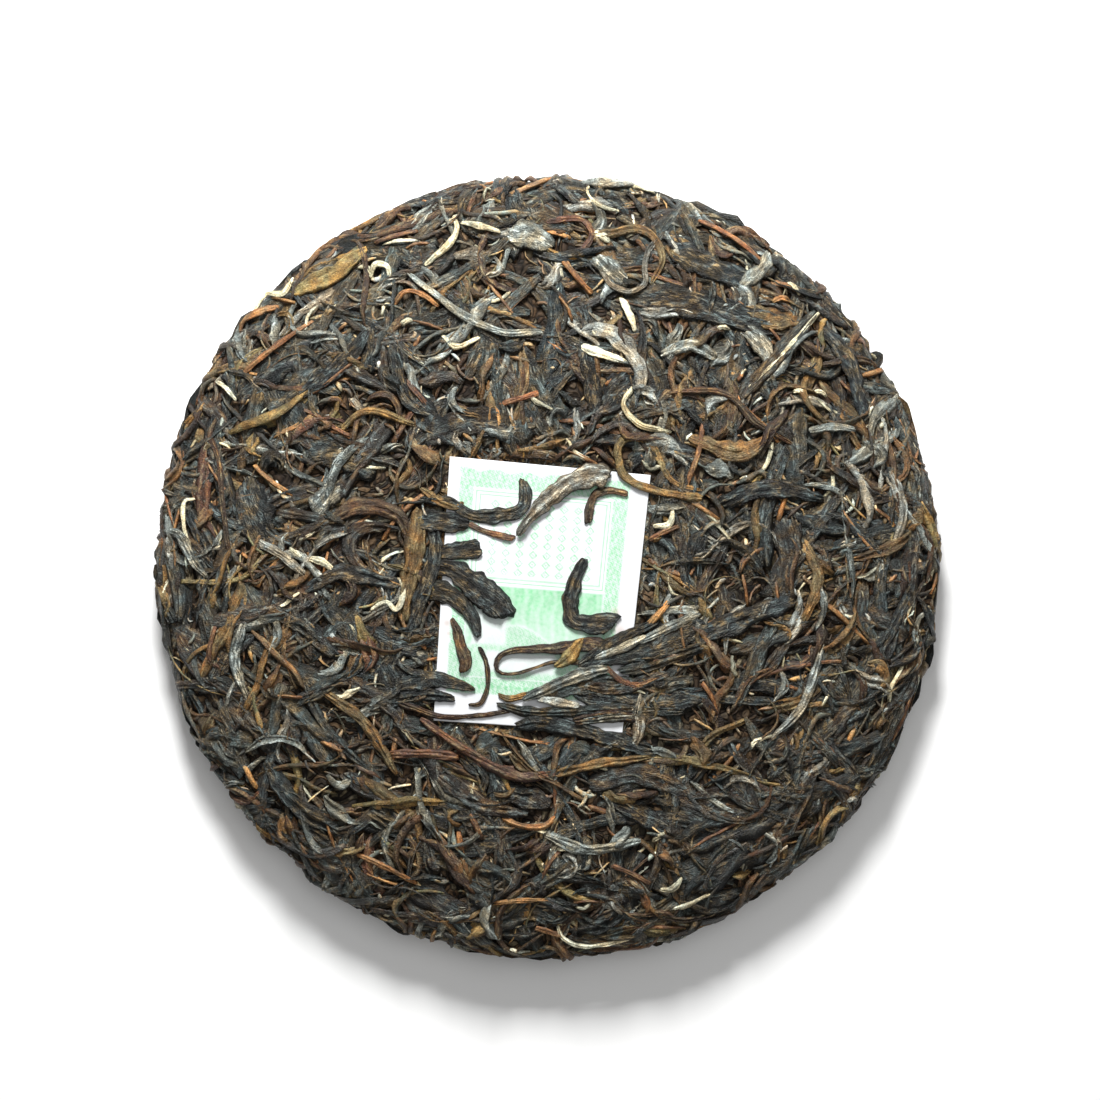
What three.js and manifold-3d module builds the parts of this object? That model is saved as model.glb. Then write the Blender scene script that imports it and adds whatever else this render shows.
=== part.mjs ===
// A pu-erh tea cake: sun-dried leaves steamed and pressed into a disc, with a paper ticket pressed into
// its face under a few leaves. It lies on its back, face up. Millimetres, +Z up. The origin is in the
// middle of the disc, on the surface that it lies on, and +Y is the top of the ticket.
import * as THREE from "three";
import { mergeVertices } from "three/addons/utils/BufferGeometryUtils.js";
import Module from "manifold-3d";

const wasm = await Module();
wasm.setup();

// The disc
const CAKE_RADIUS = 100;
const CAKE_THICKNESS = 22.5;
const RIM_HEIGHT = 9; // of the widest level above the foot
const FACE_FLATNESS = 2.7; // how square the face's outline is: 2 is an ellipse
const FACE_SHOULDER = 2.2; // the same, for how fast it falls at the rim
const FOOT_RADIUS = 72; // outer radius of the flat ring that it rests on
const FOOT_EDGE = 6; // over which the leaves' relief fades into the flat foot
const DIMPLE_RADIUS = 29; // the hollow that the knot of the pressing cloth leaves in the back
const DIMPLE_DEPTH = 9;

// The leaves
const LEAF_RELIEF = 1.0; // how far the packed bed lies below the tops of the leaves
const BUMP_HEIGHT = 0.55; // of the finer leaves, left as bumps on the bed
const FACE_FACET = 6.2; // the bed's facets, about as long as a small leaf
const BACK_FACET = 10;
const RIM_FACET = 4; // round the rim, which curves fast
const RIM_REACH = 16; // of the finer facets to each side of the widest level
const LEAF_STEP = 5.6; // length of one facet along a pressed leaf
const LAID_STEP = 3.4; // the same for the leaves on the ticket, which curve more
const MERGE_WITHIN = 0.25; // facets smaller than this are merged
const MERGE_SEAT_WITHIN = 0.06; // the same, once the ticket's seat is cut
const LEAF_SINK = 0.7; // how far a leaf's underside lies in the bed
const LEAF_LENGTH = [15, 34];
const LEAF_WIDTH = [2.8, 6.4];
const LEAF_HEIGHT = [0.55, 0.95];
const LEAF_TIP = 0.3; // share of its width that a leaf keeps at its ends
const LEAF_BEND = 1.8; // radians, between the leaves bent most to each side
const RIM_DISORDER = 0.7; // radians, between the leaves that lie least along the rim
const LAID_HEIGHT = 0.8; // thickness of the leaves on the ticket
const LAID_TIP = 0.6; // share of their width at the ends
const HELD_SINK = 1.6; // how far their held ends dip into the bed
const HELD_REACH = 5; // along the leaf, over which a held end rises out of the bed

// The ticket: its corners on the face, and its thickness with room for the pressed paper's creases
const TICKET_CORNERS = [
  [-24.6, 28.0],
  [25.9, 23.3],
  [18.8, -41.5],
  [-28.7, -38.4],
];
const TICKET_THICKNESS = 0.4;
const TICKET_SINK = 0.75; // of its upper face below the face's envelope
const TICKET_WAVE = 0.18;
const TICKET_CELLS = [9, 12];
const TICKET_REACH = { x: [-36, 33], y: [-49, 35] }; // kept clear of the pressed leaves
const SEAT_CLEARANCE = 12; // how far above the paper the bed is cut away
const GAP = 0.3; // clearance between pieces that touch

const GOLDEN = 0.6180339887;
const GOLDEN_ANGLE = 2.399963;

// Evenly spread numbers from 0 to 1, one series for each step.
const spread = (index, step) => (index * step + 0.5) % 1;

// The number a share of the way from low to high.
const between = ([low, high], share) => low + (high - low) * share;

// The cake's envelope as one outline, [radius, height] from the middle of the face to the middle of the
// back: a superellipse for the face, a quarter ellipse under the rim, the flat foot, and the dimple.
function envelopeOutline() {
  const points = [];
  const steps = 160;
  for (let i = 0; i <= steps; i++) {
    const a = (i / steps) * (Math.PI / 2);
    points.push([
      CAKE_RADIUS * Math.sin(a) ** (2 / FACE_FLATNESS),
      RIM_HEIGHT + (CAKE_THICKNESS - RIM_HEIGHT) * Math.cos(a) ** (2 / FACE_SHOULDER),
    ]);
  }
  for (let i = 1; i <= steps; i++) {
    const a = (i / steps) * (Math.PI / 2);
    points.push([
      FOOT_RADIUS + (CAKE_RADIUS - FOOT_RADIUS) * Math.cos(a),
      RIM_HEIGHT * (1 - Math.sin(a)),
    ]);
  }
  for (let i = 1; i <= steps; i++) {
    const r = DIMPLE_RADIUS * (1 - i / steps);
    points.push([r, (DIMPLE_DEPTH / 2) * (1 + Math.cos((Math.PI * r) / DIMPLE_RADIUS))]);
  }
  return points;
}

// The outline resampled by its length, with the normal of each sample.
const SAMPLE = 0.5;
const SETTLE_SAMPLES = 16; // looked through to each side when a point is settled on the outline
const outline = (() => {
  const raw = envelopeOutline();
  const lengths = [0];
  for (let i = 1; i < raw.length; i++)
    lengths.push(
      lengths[i - 1] + Math.hypot(raw[i][0] - raw[i - 1][0], raw[i][1] - raw[i - 1][1]),
    );
  const total = lengths[lengths.length - 1];
  const count = Math.round(total / SAMPLE);
  const samples = [];
  let k = 0;
  for (let i = 0; i <= count; i++) {
    const s = (i / count) * total;
    while (k < raw.length - 2 && lengths[k + 1] < s) k++;
    const t = (s - lengths[k]) / (lengths[k + 1] - lengths[k] || 1);
    samples.push({
      s,
      r: raw[k][0] + t * (raw[k + 1][0] - raw[k][0]),
      z: raw[k][1] + t * (raw[k + 1][1] - raw[k][1]),
    });
  }
  samples.forEach((p, i) => {
    const a = samples[Math.max(0, i - 1)];
    const b = samples[Math.min(count, i + 1)];
    const length = Math.hypot(b.r - a.r, b.z - a.z);
    p.nr = -(b.z - a.z) / length;
    p.nz = (b.r - a.r) / length;
  });
  return { samples, total, rim: samples.reduce((best, p) => (p.r > best.r ? p : best)).s };
})();

// The groups of larger leaves: how many, and from where to where along the outline they start.
const LEAF_GROUPS = [
  { count: 96, span: [0, outline.rim - 6], alongRim: false },
  { count: 30, span: [outline.rim - 10, outline.rim + 14], alongRim: true },
  { count: 34, span: [outline.rim + 8, outline.total], alongRim: false },
];

// The sample of the outline at a length from the middle of the face.
const outlineAt = (s) =>
  outline.samples[
    Math.min(outline.samples.length - 1, Math.max(0, Math.round(s / SAMPLE)))
  ];

// The point and the normal of the envelope nearest to a point, looking only near a known sample.
function settle(point, near) {
  const r = Math.hypot(point.x, point.y);
  const middle = Math.round(near / SAMPLE);
  let best = outline.samples[0];
  let least = Infinity;
  const first = Math.max(0, middle - SETTLE_SAMPLES);
  for (const p of outline.samples.slice(first, middle + SETTLE_SAMPLES + 1)) {
    const d = (p.r - r) ** 2 + (p.z - point.z) ** 2;
    if (d < least) [best, least] = [p, d];
  }
  const [cx, cy] = r > 1e-6 ? [point.x / r, point.y / r] : [1, 0];
  return {
    s: best.s,
    point: new THREE.Vector3(best.r * cx, best.r * cy, best.z),
    normal: new THREE.Vector3(best.nr * cx, best.nr * cy, best.nz),
  };
}

// Height of the face's envelope over a point.
function faceHeight(x, y) {
  const share = Math.min(1, Math.hypot(x, y) / CAKE_RADIUS);
  const rise = (1 - share ** FACE_FLATNESS) ** (1 / FACE_SHOULDER);
  return RIM_HEIGHT + (CAKE_THICKNESS - RIM_HEIGHT) * rise;
}

// A smooth step from 0 to 1 between two values.
const ease = (x, from, to) => THREE.MathUtils.smoothstep(x, from, to);

// How far the bed lies below the envelope: by the leaves' relief, and not at all on the flat foot.
function bedDepth(sample) {
  if (sample.s < outline.rim) return LEAF_RELIEF;
  const beyondDimple = ease(sample.r, DIMPLE_RADIUS, DIMPLE_RADIUS + FOOT_EDGE);
  const beyondFoot = ease(sample.r, FOOT_RADIUS - FOOT_EDGE, FOOT_RADIUS + FOOT_EDGE);
  return LEAF_RELIEF * (1 - beyondDimple * (1 - beyondFoot));
}

// Bumps of leaf size: two crossing waves whose direction turns slowly over the disc.
function bump(x, y, z) {
  const turn = 1.7 * Math.sin(x * 0.043 + 0.6) + 1.3 * Math.sin(y * 0.051 - 0.4);
  const along = x * Math.cos(turn) + y * Math.sin(turn);
  const across = y * Math.cos(turn) - x * Math.sin(turn);
  return Math.sin(across * 0.92 + 0.8 * Math.sin(along * 0.31) + z * 0.9) * Math.sin(along * 0.47 + z);
}

// A closed solid from points and faces.
function solidFrom(positions, indices) {
  return new wasm.Manifold(
    new wasm.Mesh({
      numProp: 3,
      vertProperties: new Float32Array(positions),
      triVerts: new Uint32Array(indices),
    }),
  );
}

// Faces between two rings of points, each ring an [first index, count], by going round both together.
function stitch(indices, [a, na], [b, nb]) {
  let i = 0;
  let j = 0;
  while (i < na || j < nb) {
    const forward = j >= nb || (i < na && (i + 0.5) / na < (j + 0.5) / nb);
    if (forward) {
      indices.push(a + (i % na), b + (j % nb), a + ((i + 1) % na));
      i++;
    } else {
      indices.push(a + (i % na), b + (j % nb), b + ((j + 1) % nb));
      j++;
    }
  }
}

// The bed of packed leaves: rings of facets from the middle of the face round the rim to the middle of
// the back, set below the envelope and bumped.
function bedSolid() {
  const positions = [];
  const indices = [];
  const rings = [];
  const levels = [];
  const stretches = [
    [0, outline.rim - RIM_REACH, FACE_FACET, FACE_FACET],
    [outline.rim - RIM_REACH, outline.rim + RIM_REACH, RIM_FACET, FACE_FACET],
    [outline.rim + RIM_REACH, outline.total, BACK_FACET, BACK_FACET],
  ];
  for (const [from, to, step, facet] of stretches) {
    const steps = 2 * Math.round((to - from) / step / 2);
    for (let i = from ? 1 : 0; i <= steps; i++) levels.push([from + (i / steps) * (to - from), facet]);
  }
  levels.forEach(([s, facet], level) => {
    const sample = outlineAt(s);
    const depth = bedDepth(sample);
    const count = sample.r < 1 ? 1 : 4 * Math.max(2, Math.round((Math.PI * sample.r) / (2 * facet)));
    const shift = s < outline.rim - RIM_REACH ? (level % 2) / 2 : 0;
    rings.push([positions.length / 3, count]);
    for (let i = 0; i < count; i++) {
      const a = ((i + shift) / count) * 2 * Math.PI;
      const [cx, cy] = [Math.cos(a), Math.sin(a)];
      const bumped = BUMP_HEIGHT * (depth / LEAF_RELIEF) * bump(sample.r * cx, sample.r * cy, sample.z);
      const rise = bumped - depth;
      positions.push(
        (sample.r + sample.nr * rise) * cx,
        (sample.r + sample.nr * rise) * cy,
        sample.z + sample.nz * rise,
      );
    }
  });
  for (let i = 1; i < rings.length; i++) stitch(indices, rings[i - 1], rings[i]);
  // A ring of one point has faces with no area, where its point is repeated.
  const faces = [];
  for (let i = 0; i < indices.length; i += 3) {
    const [a, b, c] = indices.slice(i, i + 3);
    if (a !== b && b !== c && c !== a) faces.push(a, b, c);
  }
  return solidFrom(positions, faces);
}

// A leaf as a closed strip along a line of frames: five points across with a ridge that wanders, a flat
// underside, and ends that narrow to a share tip. The width is the parabola through the widths at the
// start, in the middle and at the end. Each frame is {point, normal, side}.
function leafSolid(frames, [start, middle, end], height, sink, wander, tip) {
  const positions = [];
  const indices = [];
  const count = frames.length;
  frames.forEach(({ point, normal, side }, i) => {
    const t = i / (count - 1);
    const width = start * (1 - t) * (1 - 2 * t) + 4 * middle * t * (1 - t) + end * t * (2 * t - 1);
    const body = tip + (1 - tip) * Math.sin(Math.PI * (0.06 + 0.88 * t)) ** 0.7;
    const ridge = 0.16 * Math.sin(wander * 6.3 + t * 5);
    const section = [
      [-0.5, -sink],
      [-0.36, height * 0.62],
      [ridge, height],
      [0.36, height * 0.7],
      [0.5, -sink],
    ];
    for (const [across, up] of section) {
      const p = point
        .clone()
        .addScaledVector(side, across * width * body)
        .addScaledVector(normal, up > 0 ? up * (0.45 + 0.55 * body) : up);
      positions.push(p.x, p.y, p.z);
    }
  });
  const around = 5;
  for (let i = 0; i + 1 < count; i++)
    for (let k = 0; k < around; k++) {
      const a = i * around + k;
      const b = i * around + ((k + 1) % around);
      indices.push(a, b, a + around, b, b + around, a + around);
    }
  const last = (count - 1) * around;
  for (let k = 1; k + 1 < around; k++) {
    indices.push(0, k + 1, k);
    indices.push(last, last + k, last + k + 1);
  }
  const made = solidFrom(positions, indices);
  if (made.volume() > 0) return made;
  for (let i = 0; i < indices.length; i += 3)
    [indices[i + 1], indices[i + 2]] = [indices[i + 2], indices[i + 1]];
  return solidFrom(positions, indices);
}

// Frames along a leaf that starts at a place on the envelope and runs over it, turning as it goes. It is
// walked in short steps, each settled back on the envelope. The leaf's top stays inside the envelope.
function walkedFrames(s, angle, heading, length, bend, height) {
  const steps = Math.max(3, Math.round(length / LEAF_STEP));
  const start = outlineAt(s);
  const out = new THREE.Vector3(Math.cos(angle), Math.sin(angle), 0);
  let here = settle(new THREE.Vector3(start.r * out.x, start.r * out.y, start.z), start.s);
  const round = new THREE.Vector3(-out.y, out.x, 0);
  const down = new THREE.Vector3().crossVectors(round, here.normal);
  const direction = down.multiplyScalar(Math.cos(heading)).addScaledVector(round, Math.sin(heading));
  const frames = [];
  for (let i = 0; i <= steps; i++) {
    direction.addScaledVector(here.normal, -direction.dot(here.normal)).normalize();
    frames.push({
      point: here.point.clone().addScaledVector(here.normal, -height),
      normal: here.normal.clone(),
      side: new THREE.Vector3().crossVectors(here.normal, direction),
    });
    here = settle(here.point.clone().addScaledVector(direction, length / steps), here.s);
    direction.applyAxisAngle(here.normal, bend / steps);
  }
  return frames;
}

// Whether any of the frames comes over the ticket's stretch of the face.
function meetsTicket(frames) {
  return frames.some(
    ({ point: p }) =>
      p.z > RIM_HEIGHT &&
      p.x > TICKET_REACH.x[0] &&
      p.x < TICKET_REACH.x[1] &&
      p.y > TICKET_REACH.y[0] &&
      p.y < TICKET_REACH.y[1],
  );
}

// One of the larger leaves, number k of a group. Places come from the golden angle, so they are spread
// evenly by area, and sizes from other evenly spread series.
function largeLeaf(k, { count, span, alongRim }) {
  const area = (s) => outline.samples.filter((p) => p.s <= s).reduce((sum, p) => sum + p.r, 0);
  const wanted = between(span.map(area), (k + 0.5) / count);
  let sum = 0;
  const place = outline.samples.find((p) => (sum += p.r) >= wanted) || outline.samples[0];
  const heading = alongRim
    ? Math.PI / 2 + RIM_DISORDER * (spread(k, GOLDEN) - 0.5)
    : spread(k, 0.7548776662) * 2 * Math.PI;
  const length = between(LEAF_LENGTH, spread(k, 0.5698402910));
  const width = between(LEAF_WIDTH, spread(k, 0.8191725134) ** 2);
  const height = between(LEAF_HEIGHT, spread(k, 0.6710436067));
  const bend = LEAF_BEND * (spread(k, GOLDEN) - 0.5);
  const frames = walkedFrames(place.s, k * GOLDEN_ANGLE, heading, length, bend, height);
  const widths = [width, width, width];
  return { frames, solid: () => leafSolid(frames, widths, height, LEAF_SINK, spread(k, 0.3247), LEAF_TIP) };
}

// A point of the ticket, u from left to right and v from the top down, with its height above the face's
// envelope. The sheet sags in soft waves where leaves press on it.
function ticketPoint(u, v, margin = 0) {
  const [a, b, c, d] = TICKET_CORNERS;
  const mix = (p, q, t) => [p[0] + (q[0] - p[0]) * t, p[1] + (q[1] - p[1]) * t];
  const [x, y] = mix(mix(a, b, u), mix(d, c, u), v);
  const [mx, my] = [x + margin * (2 * u - 1), y - margin * (2 * v - 1)];
  return [mx, my, ticketHeight(mx, my)];
}

// Height of the ticket's upper face over a point of the face.
function ticketHeight(x, y) {
  const wave = Math.sin(x * 0.17 + 1.1) * Math.sin(y * 0.13 - 0.5) + 0.6 * Math.sin(x * 0.31 + y * 0.23);
  return faceHeight(x, y) - TICKET_SINK + TICKET_WAVE * wave;
}

// A slab under or over the ticket's outline, between two offsets from its upper face. Both faces are
// split into triangles alike.
function ticketSlab(lower, upper, margin) {
  const [nu, nv] = TICKET_CELLS;
  const positions = [];
  const indices = [];
  for (const offset of [lower, upper])
    for (let j = 0; j <= nv; j++)
      for (let i = 0; i <= nu; i++) {
        const [x, y, z] = ticketPoint(i / nu, j / nv, margin);
        positions.push(x, y, z + offset);
      }
  const row = nu + 1;
  const layer = row * (nv + 1);
  for (let j = 0; j < nv; j++)
    for (let i = 0; i < nu; i++) {
      const a = j * row + i;
      const [b, c, d] = [a + 1, a + row + 1, a + row];
      indices.push(a, b, c, a, c, d);
      indices.push(a + layer, c + layer, b + layer, a + layer, d + layer, c + layer);
    }
  const wall = (p, q) => indices.push(p, p + layer, q + layer, p, q + layer, q);
  for (let i = 0; i < nu; i++) {
    wall(i, i + 1);
    wall(nv * row + i + 1, nv * row + i);
  }
  for (let j = 0; j < nv; j++) {
    wall((j + 1) * row, j * row);
    wall(j * row + nu, (j + 1) * row + nu);
  }
  return solidFrom(positions, indices);
}

// Frames along a leaf laid over the ticket, through points of the face. Its underside lies above the
// paper, and an end marked as held dips into the bed beyond the paper's edge.
function laidFrames(points, above, held) {
  const curve = new THREE.CatmullRomCurve3(points.map(([x, y]) => new THREE.Vector3(x, y, 0)));
  const length = curve.getLength();
  const steps = Math.max(4, Math.round(length / LAID_STEP));
  const up = new THREE.Vector3(0, 0, 1);
  return curve.getSpacedPoints(steps).map((p, i, all) => {
    const run = (i / steps) * length;
    const dip =
      held[0] * (1 - ease(run, 0, HELD_REACH)) + held[1] * (1 - ease(length - run, 0, HELD_REACH));
    const ahead = all[Math.min(steps, i + 1)].clone().sub(all[Math.max(0, i - 1)]).normalize();
    p.z = ticketHeight(p.x, p.y) + GAP + above - dip * HELD_SINK;
    return { point: p, normal: up, side: new THREE.Vector3().crossVectors(up, ahead) };
  });
}

// The leaves that hold the ticket down. They grow out of the bed, cross the paper's edge and lie on it,
// at a height above the paper's gap. Widths are at the start, in the middle and at the end.
const HOLDING_LEAVES = [
  // from the left: a hook, two short leaves, and two broad ones that point to the ticket's middle
  {
    points: [
      [-32, 17.5], [-24.7, 16.5], [-21.2, 14.2], [-17.1, 12.8], [-11.8, 13.2], [-7.6, 14.2],
      [-5.6, 17], [-5.8, 21.9],
    ],
    widths: [1.6, 3.4, 3],
    above: 0.05,
  },
  { points: [[-33, 11.9], [-27.6, 11.7], [-24.1, 11.3], [-20, 10.7]], widths: [4.6, 5.4, 3.4], above: 0.05 },
  { points: [[-33, 3.2], [-26.9, 3.8], [-22.2, 4.3], [-17.1, 4.9]], widths: [2.6, 3.8, 5.2], above: 0.05 },
  {
    points: [[-32.5, 1.6], [-27, 0.3], [-23.5, -0.6], [-18.1, -4.5], [-13.6, -8.5], [-10.9, -12]],
    widths: [2.6, 6.4, 7.6],
    above: 0.35,
  },
  {
    points: [[-34, -4.6], [-29.9, -5.3], [-25.4, -6.4], [-21.4, -9], [-18.9, -12.6], [-17.2, -17.2]],
    widths: [4.2, 5, 1.6],
    above: 0.05,
  },
  // from the right: the bundle over the ticket's foot
  {
    points: [[27, -13.6], [21.4, -16.2], [17.6, -18], [12.2, -21.2], [7.9, -24]],
    widths: [1.6, 3.2, 1.6],
    above: 0.7,
  },
  {
    points: [[40, -14.6], [31, -18], [24.6, -20.4], [15.6, -21.9], [7.9, -24.4]],
    widths: [4.6, 6.4, 2.4],
    above: 0.35,
  },
  { points: [[40, -19.4], [27.8, -23.6], [18.2, -26.2]], widths: [2.4, 3.6, 2.2], above: 0.5 },
  {
    points: [[36, -28.6], [24.6, -29.7], [15.6, -29], [6.7, -30.3], [-4.9, -31.9]],
    widths: [3, 4.2, 2],
    above: 0.35,
  },
  { points: [[38, -32.2], [24.6, -33.8], [16.9, -32.9], [6.7, -31.3]], widths: [4, 6.6, 4], above: 0.05 },
  {
    points: [[34, -36], [22.1, -35.6], [5.4, -36.2], [-4.2, -36.2], [-12.6, -34.4]],
    widths: [2.4, 3.4, 1.6],
    above: 0.2,
  },
  {
    points: [[26, -45.6], [16.5, -43.2], [7.9, -40.8], [-1, -39], [-7.4, -39.8]],
    widths: [3.2, 4.4, 3],
    above: 0.05,
  },
  // a stem that leaves the bundle, turns over the paper and comes back
  {
    points: [
      [12, -24.2], [2.8, -23.5], [-3, -25], [-7.4, -26.4], [-11.3, -26.6], [-13, -24.9],
      [-11.9, -22], [-8.1, -20.6], [-2.3, -20.4], [2.8, -20.2], [8.3, -19], [13, -19.6],
    ],
    widths: [1.5, 1.2, 4.6],
    above: 0.5,
    held: [0, 0],
  },
  // from the lower left: a leaf with a thin tip, a short one, and a stem along the paper's foot
  {
    points: [[-38, -29.6], [-29.2, -28.1], [-24.1, -28.9], [-18.3, -30.6]],
    widths: [3.4, 4.4, 1],
    above: 0.05,
  },
  { points: [[-38, -32.8], [-30.5, -31.9], [-23.5, -32.8]], widths: [3, 3.4, 2], above: 0.05 },
  {
    points: [[-38, -33.6], [-33, -35.3], [-26.7, -37.4], [-17.1, -37.1], [-9.4, -35.9]],
    widths: [1.8, 1.5, 1.1],
    above: 0.1,
  },
  // the stem that loops over the top right corner
  {
    points: [
      [38.7, 17.6], [31, 18.4], [24.6, 20.3], [20.8, 21.6], [18.3, 24.5], [17.6, 29], [19.2, 32.1],
      [22.4, 32.8], [25.9, 31.2], [28.1, 27.4], [30.1, 23.2], [33, 21], [38.1, 19.7],
    ],
    widths: [2.4, 2, 1.5],
    above: 0.3,
    held: [1, 1],
  },
];

// The pieces of leaf and stalk that lie loose on the paper, each a separate solid.
const LOOSE_LEAVES = {
  grey_blade_on_ticket: {
    points: [[-7.4, 8.1], [-4.2, 12.9], [0.9, 17.8], [6, 21.6], [11.2, 23.2], [15.3, 23.2]],
    widths: [1.6, 4.6, 6],
    above: 0.95,
    colour: 0x7d7263,
  },
  hooked_stalk_on_ticket: {
    points: [[10.2, 11.3], [10.6, 15.5], [12.1, 18.4], [15.6, 19.4], [20.1, 18.6]],
    widths: [2, 2.2, 1.5],
    above: 0.05,
    colour: 0x5c4a3a,
  },
  dark_leaf_on_ticket: {
    points: [[9.2, 2.3], [6.7, -3.8], [5.6, -9.5], [7.6, -13.8], [16.9, -14]],
    widths: [2.8, 4.4, 5.4],
    above: 0.05,
    colour: 0x2e2c28,
  },
  brown_strip_on_ticket: {
    points: [[-24.1, -12.8], [-22.8, -15.6], [-21.8, -19.4], [-20.6, -23.4], [-20.9, -25.9]],
    widths: [1.4, 3, 3],
    above: 0.05,
    colour: 0x4d3524,
  },
  hooked_twig_on_ticket: {
    points: [[-17.1, -19.9], [-15.5, -23.6], [-15, -27.8], [-15.5, -31.3], [-17.1, -34.2], [-19.8, -34.5]],
    widths: [1.2, 1.3, 1.1],
    above: 0.05,
    colour: 0x3a3029,
  },
};

// Anything below the foot is cut off, as pressing does.
function aboveFoot(solid) {
  return solid.trimByPlane([0, 0, 1], 0);
}

// The largest piece of a solid, without scraps.
function largestPiece(solid) {
  return solid.decompose().reduce((a, b) => (a.volume() > b.volume() ? a : b));
}

// A leaf on the ticket, number k of its list.
function laidLeaf({ points, widths, above, held = [1, 0] }, k) {
  return leafSolid(laidFrames(points, above, held), widths, LAID_HEIGHT, 0, spread(k, GOLDEN), LAID_TIP);
}

// The bed with the larger leaves fused on, a seat cut for the ticket, and the leaves that hold it.
function cakeSolid() {
  let cake = bedSolid();
  for (const leafGroup of LEAF_GROUPS)
    for (let k = 0; k < leafGroup.count; k++) {
      const leaf = largeLeaf(k, leafGroup);
      if (!meetsTicket(leaf.frames)) cake = cake.add(leaf.solid());
    }
  cake = cake.subtract(ticketSlab(-TICKET_THICKNESS - GAP, SEAT_CLEARANCE, GAP));
  HOLDING_LEAVES.forEach((leaf, k) => (cake = cake.add(laidLeaf(leaf, k))));
  cake = cake.asOriginal().simplify(MERGE_WITHIN);
  cake = cake.subtract(ticketSlab(-TICKET_THICKNESS - GAP, GAP, GAP));
  return aboveFoot(largestPiece(cake)).asOriginal().simplify(MERGE_SEAT_WITHIN);
}

// A mesh from a solid, with its colour and finish.
function meshFrom(name, solid, colour, roughness) {
  const { vertProperties, triVerts } = solid.getMesh();
  const geometry = new THREE.BufferGeometry();
  geometry.setAttribute("position", new THREE.BufferAttribute(new Float32Array(vertProperties), 3));
  geometry.setIndex(Array.from(triVerts));
  const faceted = mergeVertices(geometry);
  faceted.computeVertexNormals();
  const mesh = new THREE.Mesh(
    faceted,
    new THREE.MeshStandardMaterial({ color: colour, roughness, metalness: 0, flatShading: true }),
  );
  mesh.name = name;
  return mesh;
}

// The origin is in the middle of the outline, so the leaves' small overhang at the rim is evened out.
const cake = cakeSolid();
const extent = cake.boundingBox();
const group = new THREE.Group();
group.position.set(-(extent.min[0] + extent.max[0]) / 2, -(extent.min[1] + extent.max[1]) / 2, 0);
group.add(meshFrom("cake", cake, 0x3c342c, 0.75));
group.add(meshFrom("ticket", ticketSlab(-TICKET_THICKNESS, 0, 0), 0xeef2ea, 0.85));
Object.entries(LOOSE_LEAVES).forEach(([name, leaf], k) => {
  group.add(meshFrom(name, laidLeaf({ ...leaf, held: [0, 0] }, k), leaf.colour, 0.8));
});

export default group;
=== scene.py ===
import bpy
import numpy as np
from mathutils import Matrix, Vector


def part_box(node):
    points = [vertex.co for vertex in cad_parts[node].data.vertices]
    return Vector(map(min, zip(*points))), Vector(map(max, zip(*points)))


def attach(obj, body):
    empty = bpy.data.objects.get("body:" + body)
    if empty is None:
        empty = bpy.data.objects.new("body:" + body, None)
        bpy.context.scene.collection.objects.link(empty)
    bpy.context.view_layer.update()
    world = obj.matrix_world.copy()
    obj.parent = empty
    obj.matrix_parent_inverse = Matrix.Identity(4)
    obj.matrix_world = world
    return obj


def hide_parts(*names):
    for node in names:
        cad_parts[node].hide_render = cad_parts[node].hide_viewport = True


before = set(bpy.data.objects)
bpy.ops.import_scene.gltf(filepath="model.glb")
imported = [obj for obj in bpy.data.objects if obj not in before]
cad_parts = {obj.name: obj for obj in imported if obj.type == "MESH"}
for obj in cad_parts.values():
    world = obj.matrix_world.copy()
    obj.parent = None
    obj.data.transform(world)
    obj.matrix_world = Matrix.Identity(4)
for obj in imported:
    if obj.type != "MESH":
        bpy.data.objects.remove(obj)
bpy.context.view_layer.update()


# The pressed bed: sun-dried leaves of one bush, steamed soft and pressed hard into a disc. What lies
# between and under the leaves that show is a dark, lumpy mass of smaller ones. It is one surface of
# revolution, raised and sunk by bumps as long as a small leaf.
MM = 0.001
CAKE_RADIUS = 100 * MM
CAKE_THICKNESS = 22.5 * MM
RIM_HEIGHT = 9 * MM
FACE_FLATNESS = 2.7
FACE_SHOULDER = 2.2
FOOT_RADIUS = 72 * MM
DIMPLE_RADIUS = 29 * MM
DIMPLE_DEPTH = 9 * MM
OUTLINE_STEP = 0.25 * MM
BED_DEPTH = 1.35 * MM
BED_PAPER_DENT = 1.0 * MM
BED_BUMP = 0.55 * MM
BED_LOWEST = 0.3 * MM
BED_STEPS_ROUND = 300
BED_STEP = 1.1 * MM
BED_DRAWN = 14 * MM
BED_DRAWN_PATCH = 8 * MM
BED_CELL = 2.4 * MM
BED_GRAIN = 0.7 * MM
BED_RELIEF = 0.5 * MM
BED_SCRAPS = ["#16130f", "#35281d", "#1f1c18", "#493725", "#191612", "#64503a", "#2d2922", "#736852"]
RANGE_INPUTS = ("Value", "From Min", "From Max", "To Min", "To Max")

TICKET_CORNERS = np.array([(-24.6, 28.0), (25.9, 23.3), (18.8, -41.5), (-28.7, -38.4)]) * MM
# The source centres the cake by its uneven outline, which moves the ticket's corners a little.
SHIFT = np.array(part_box("ticket")[0])[:2] - TICKET_CORNERS.min(0)


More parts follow.
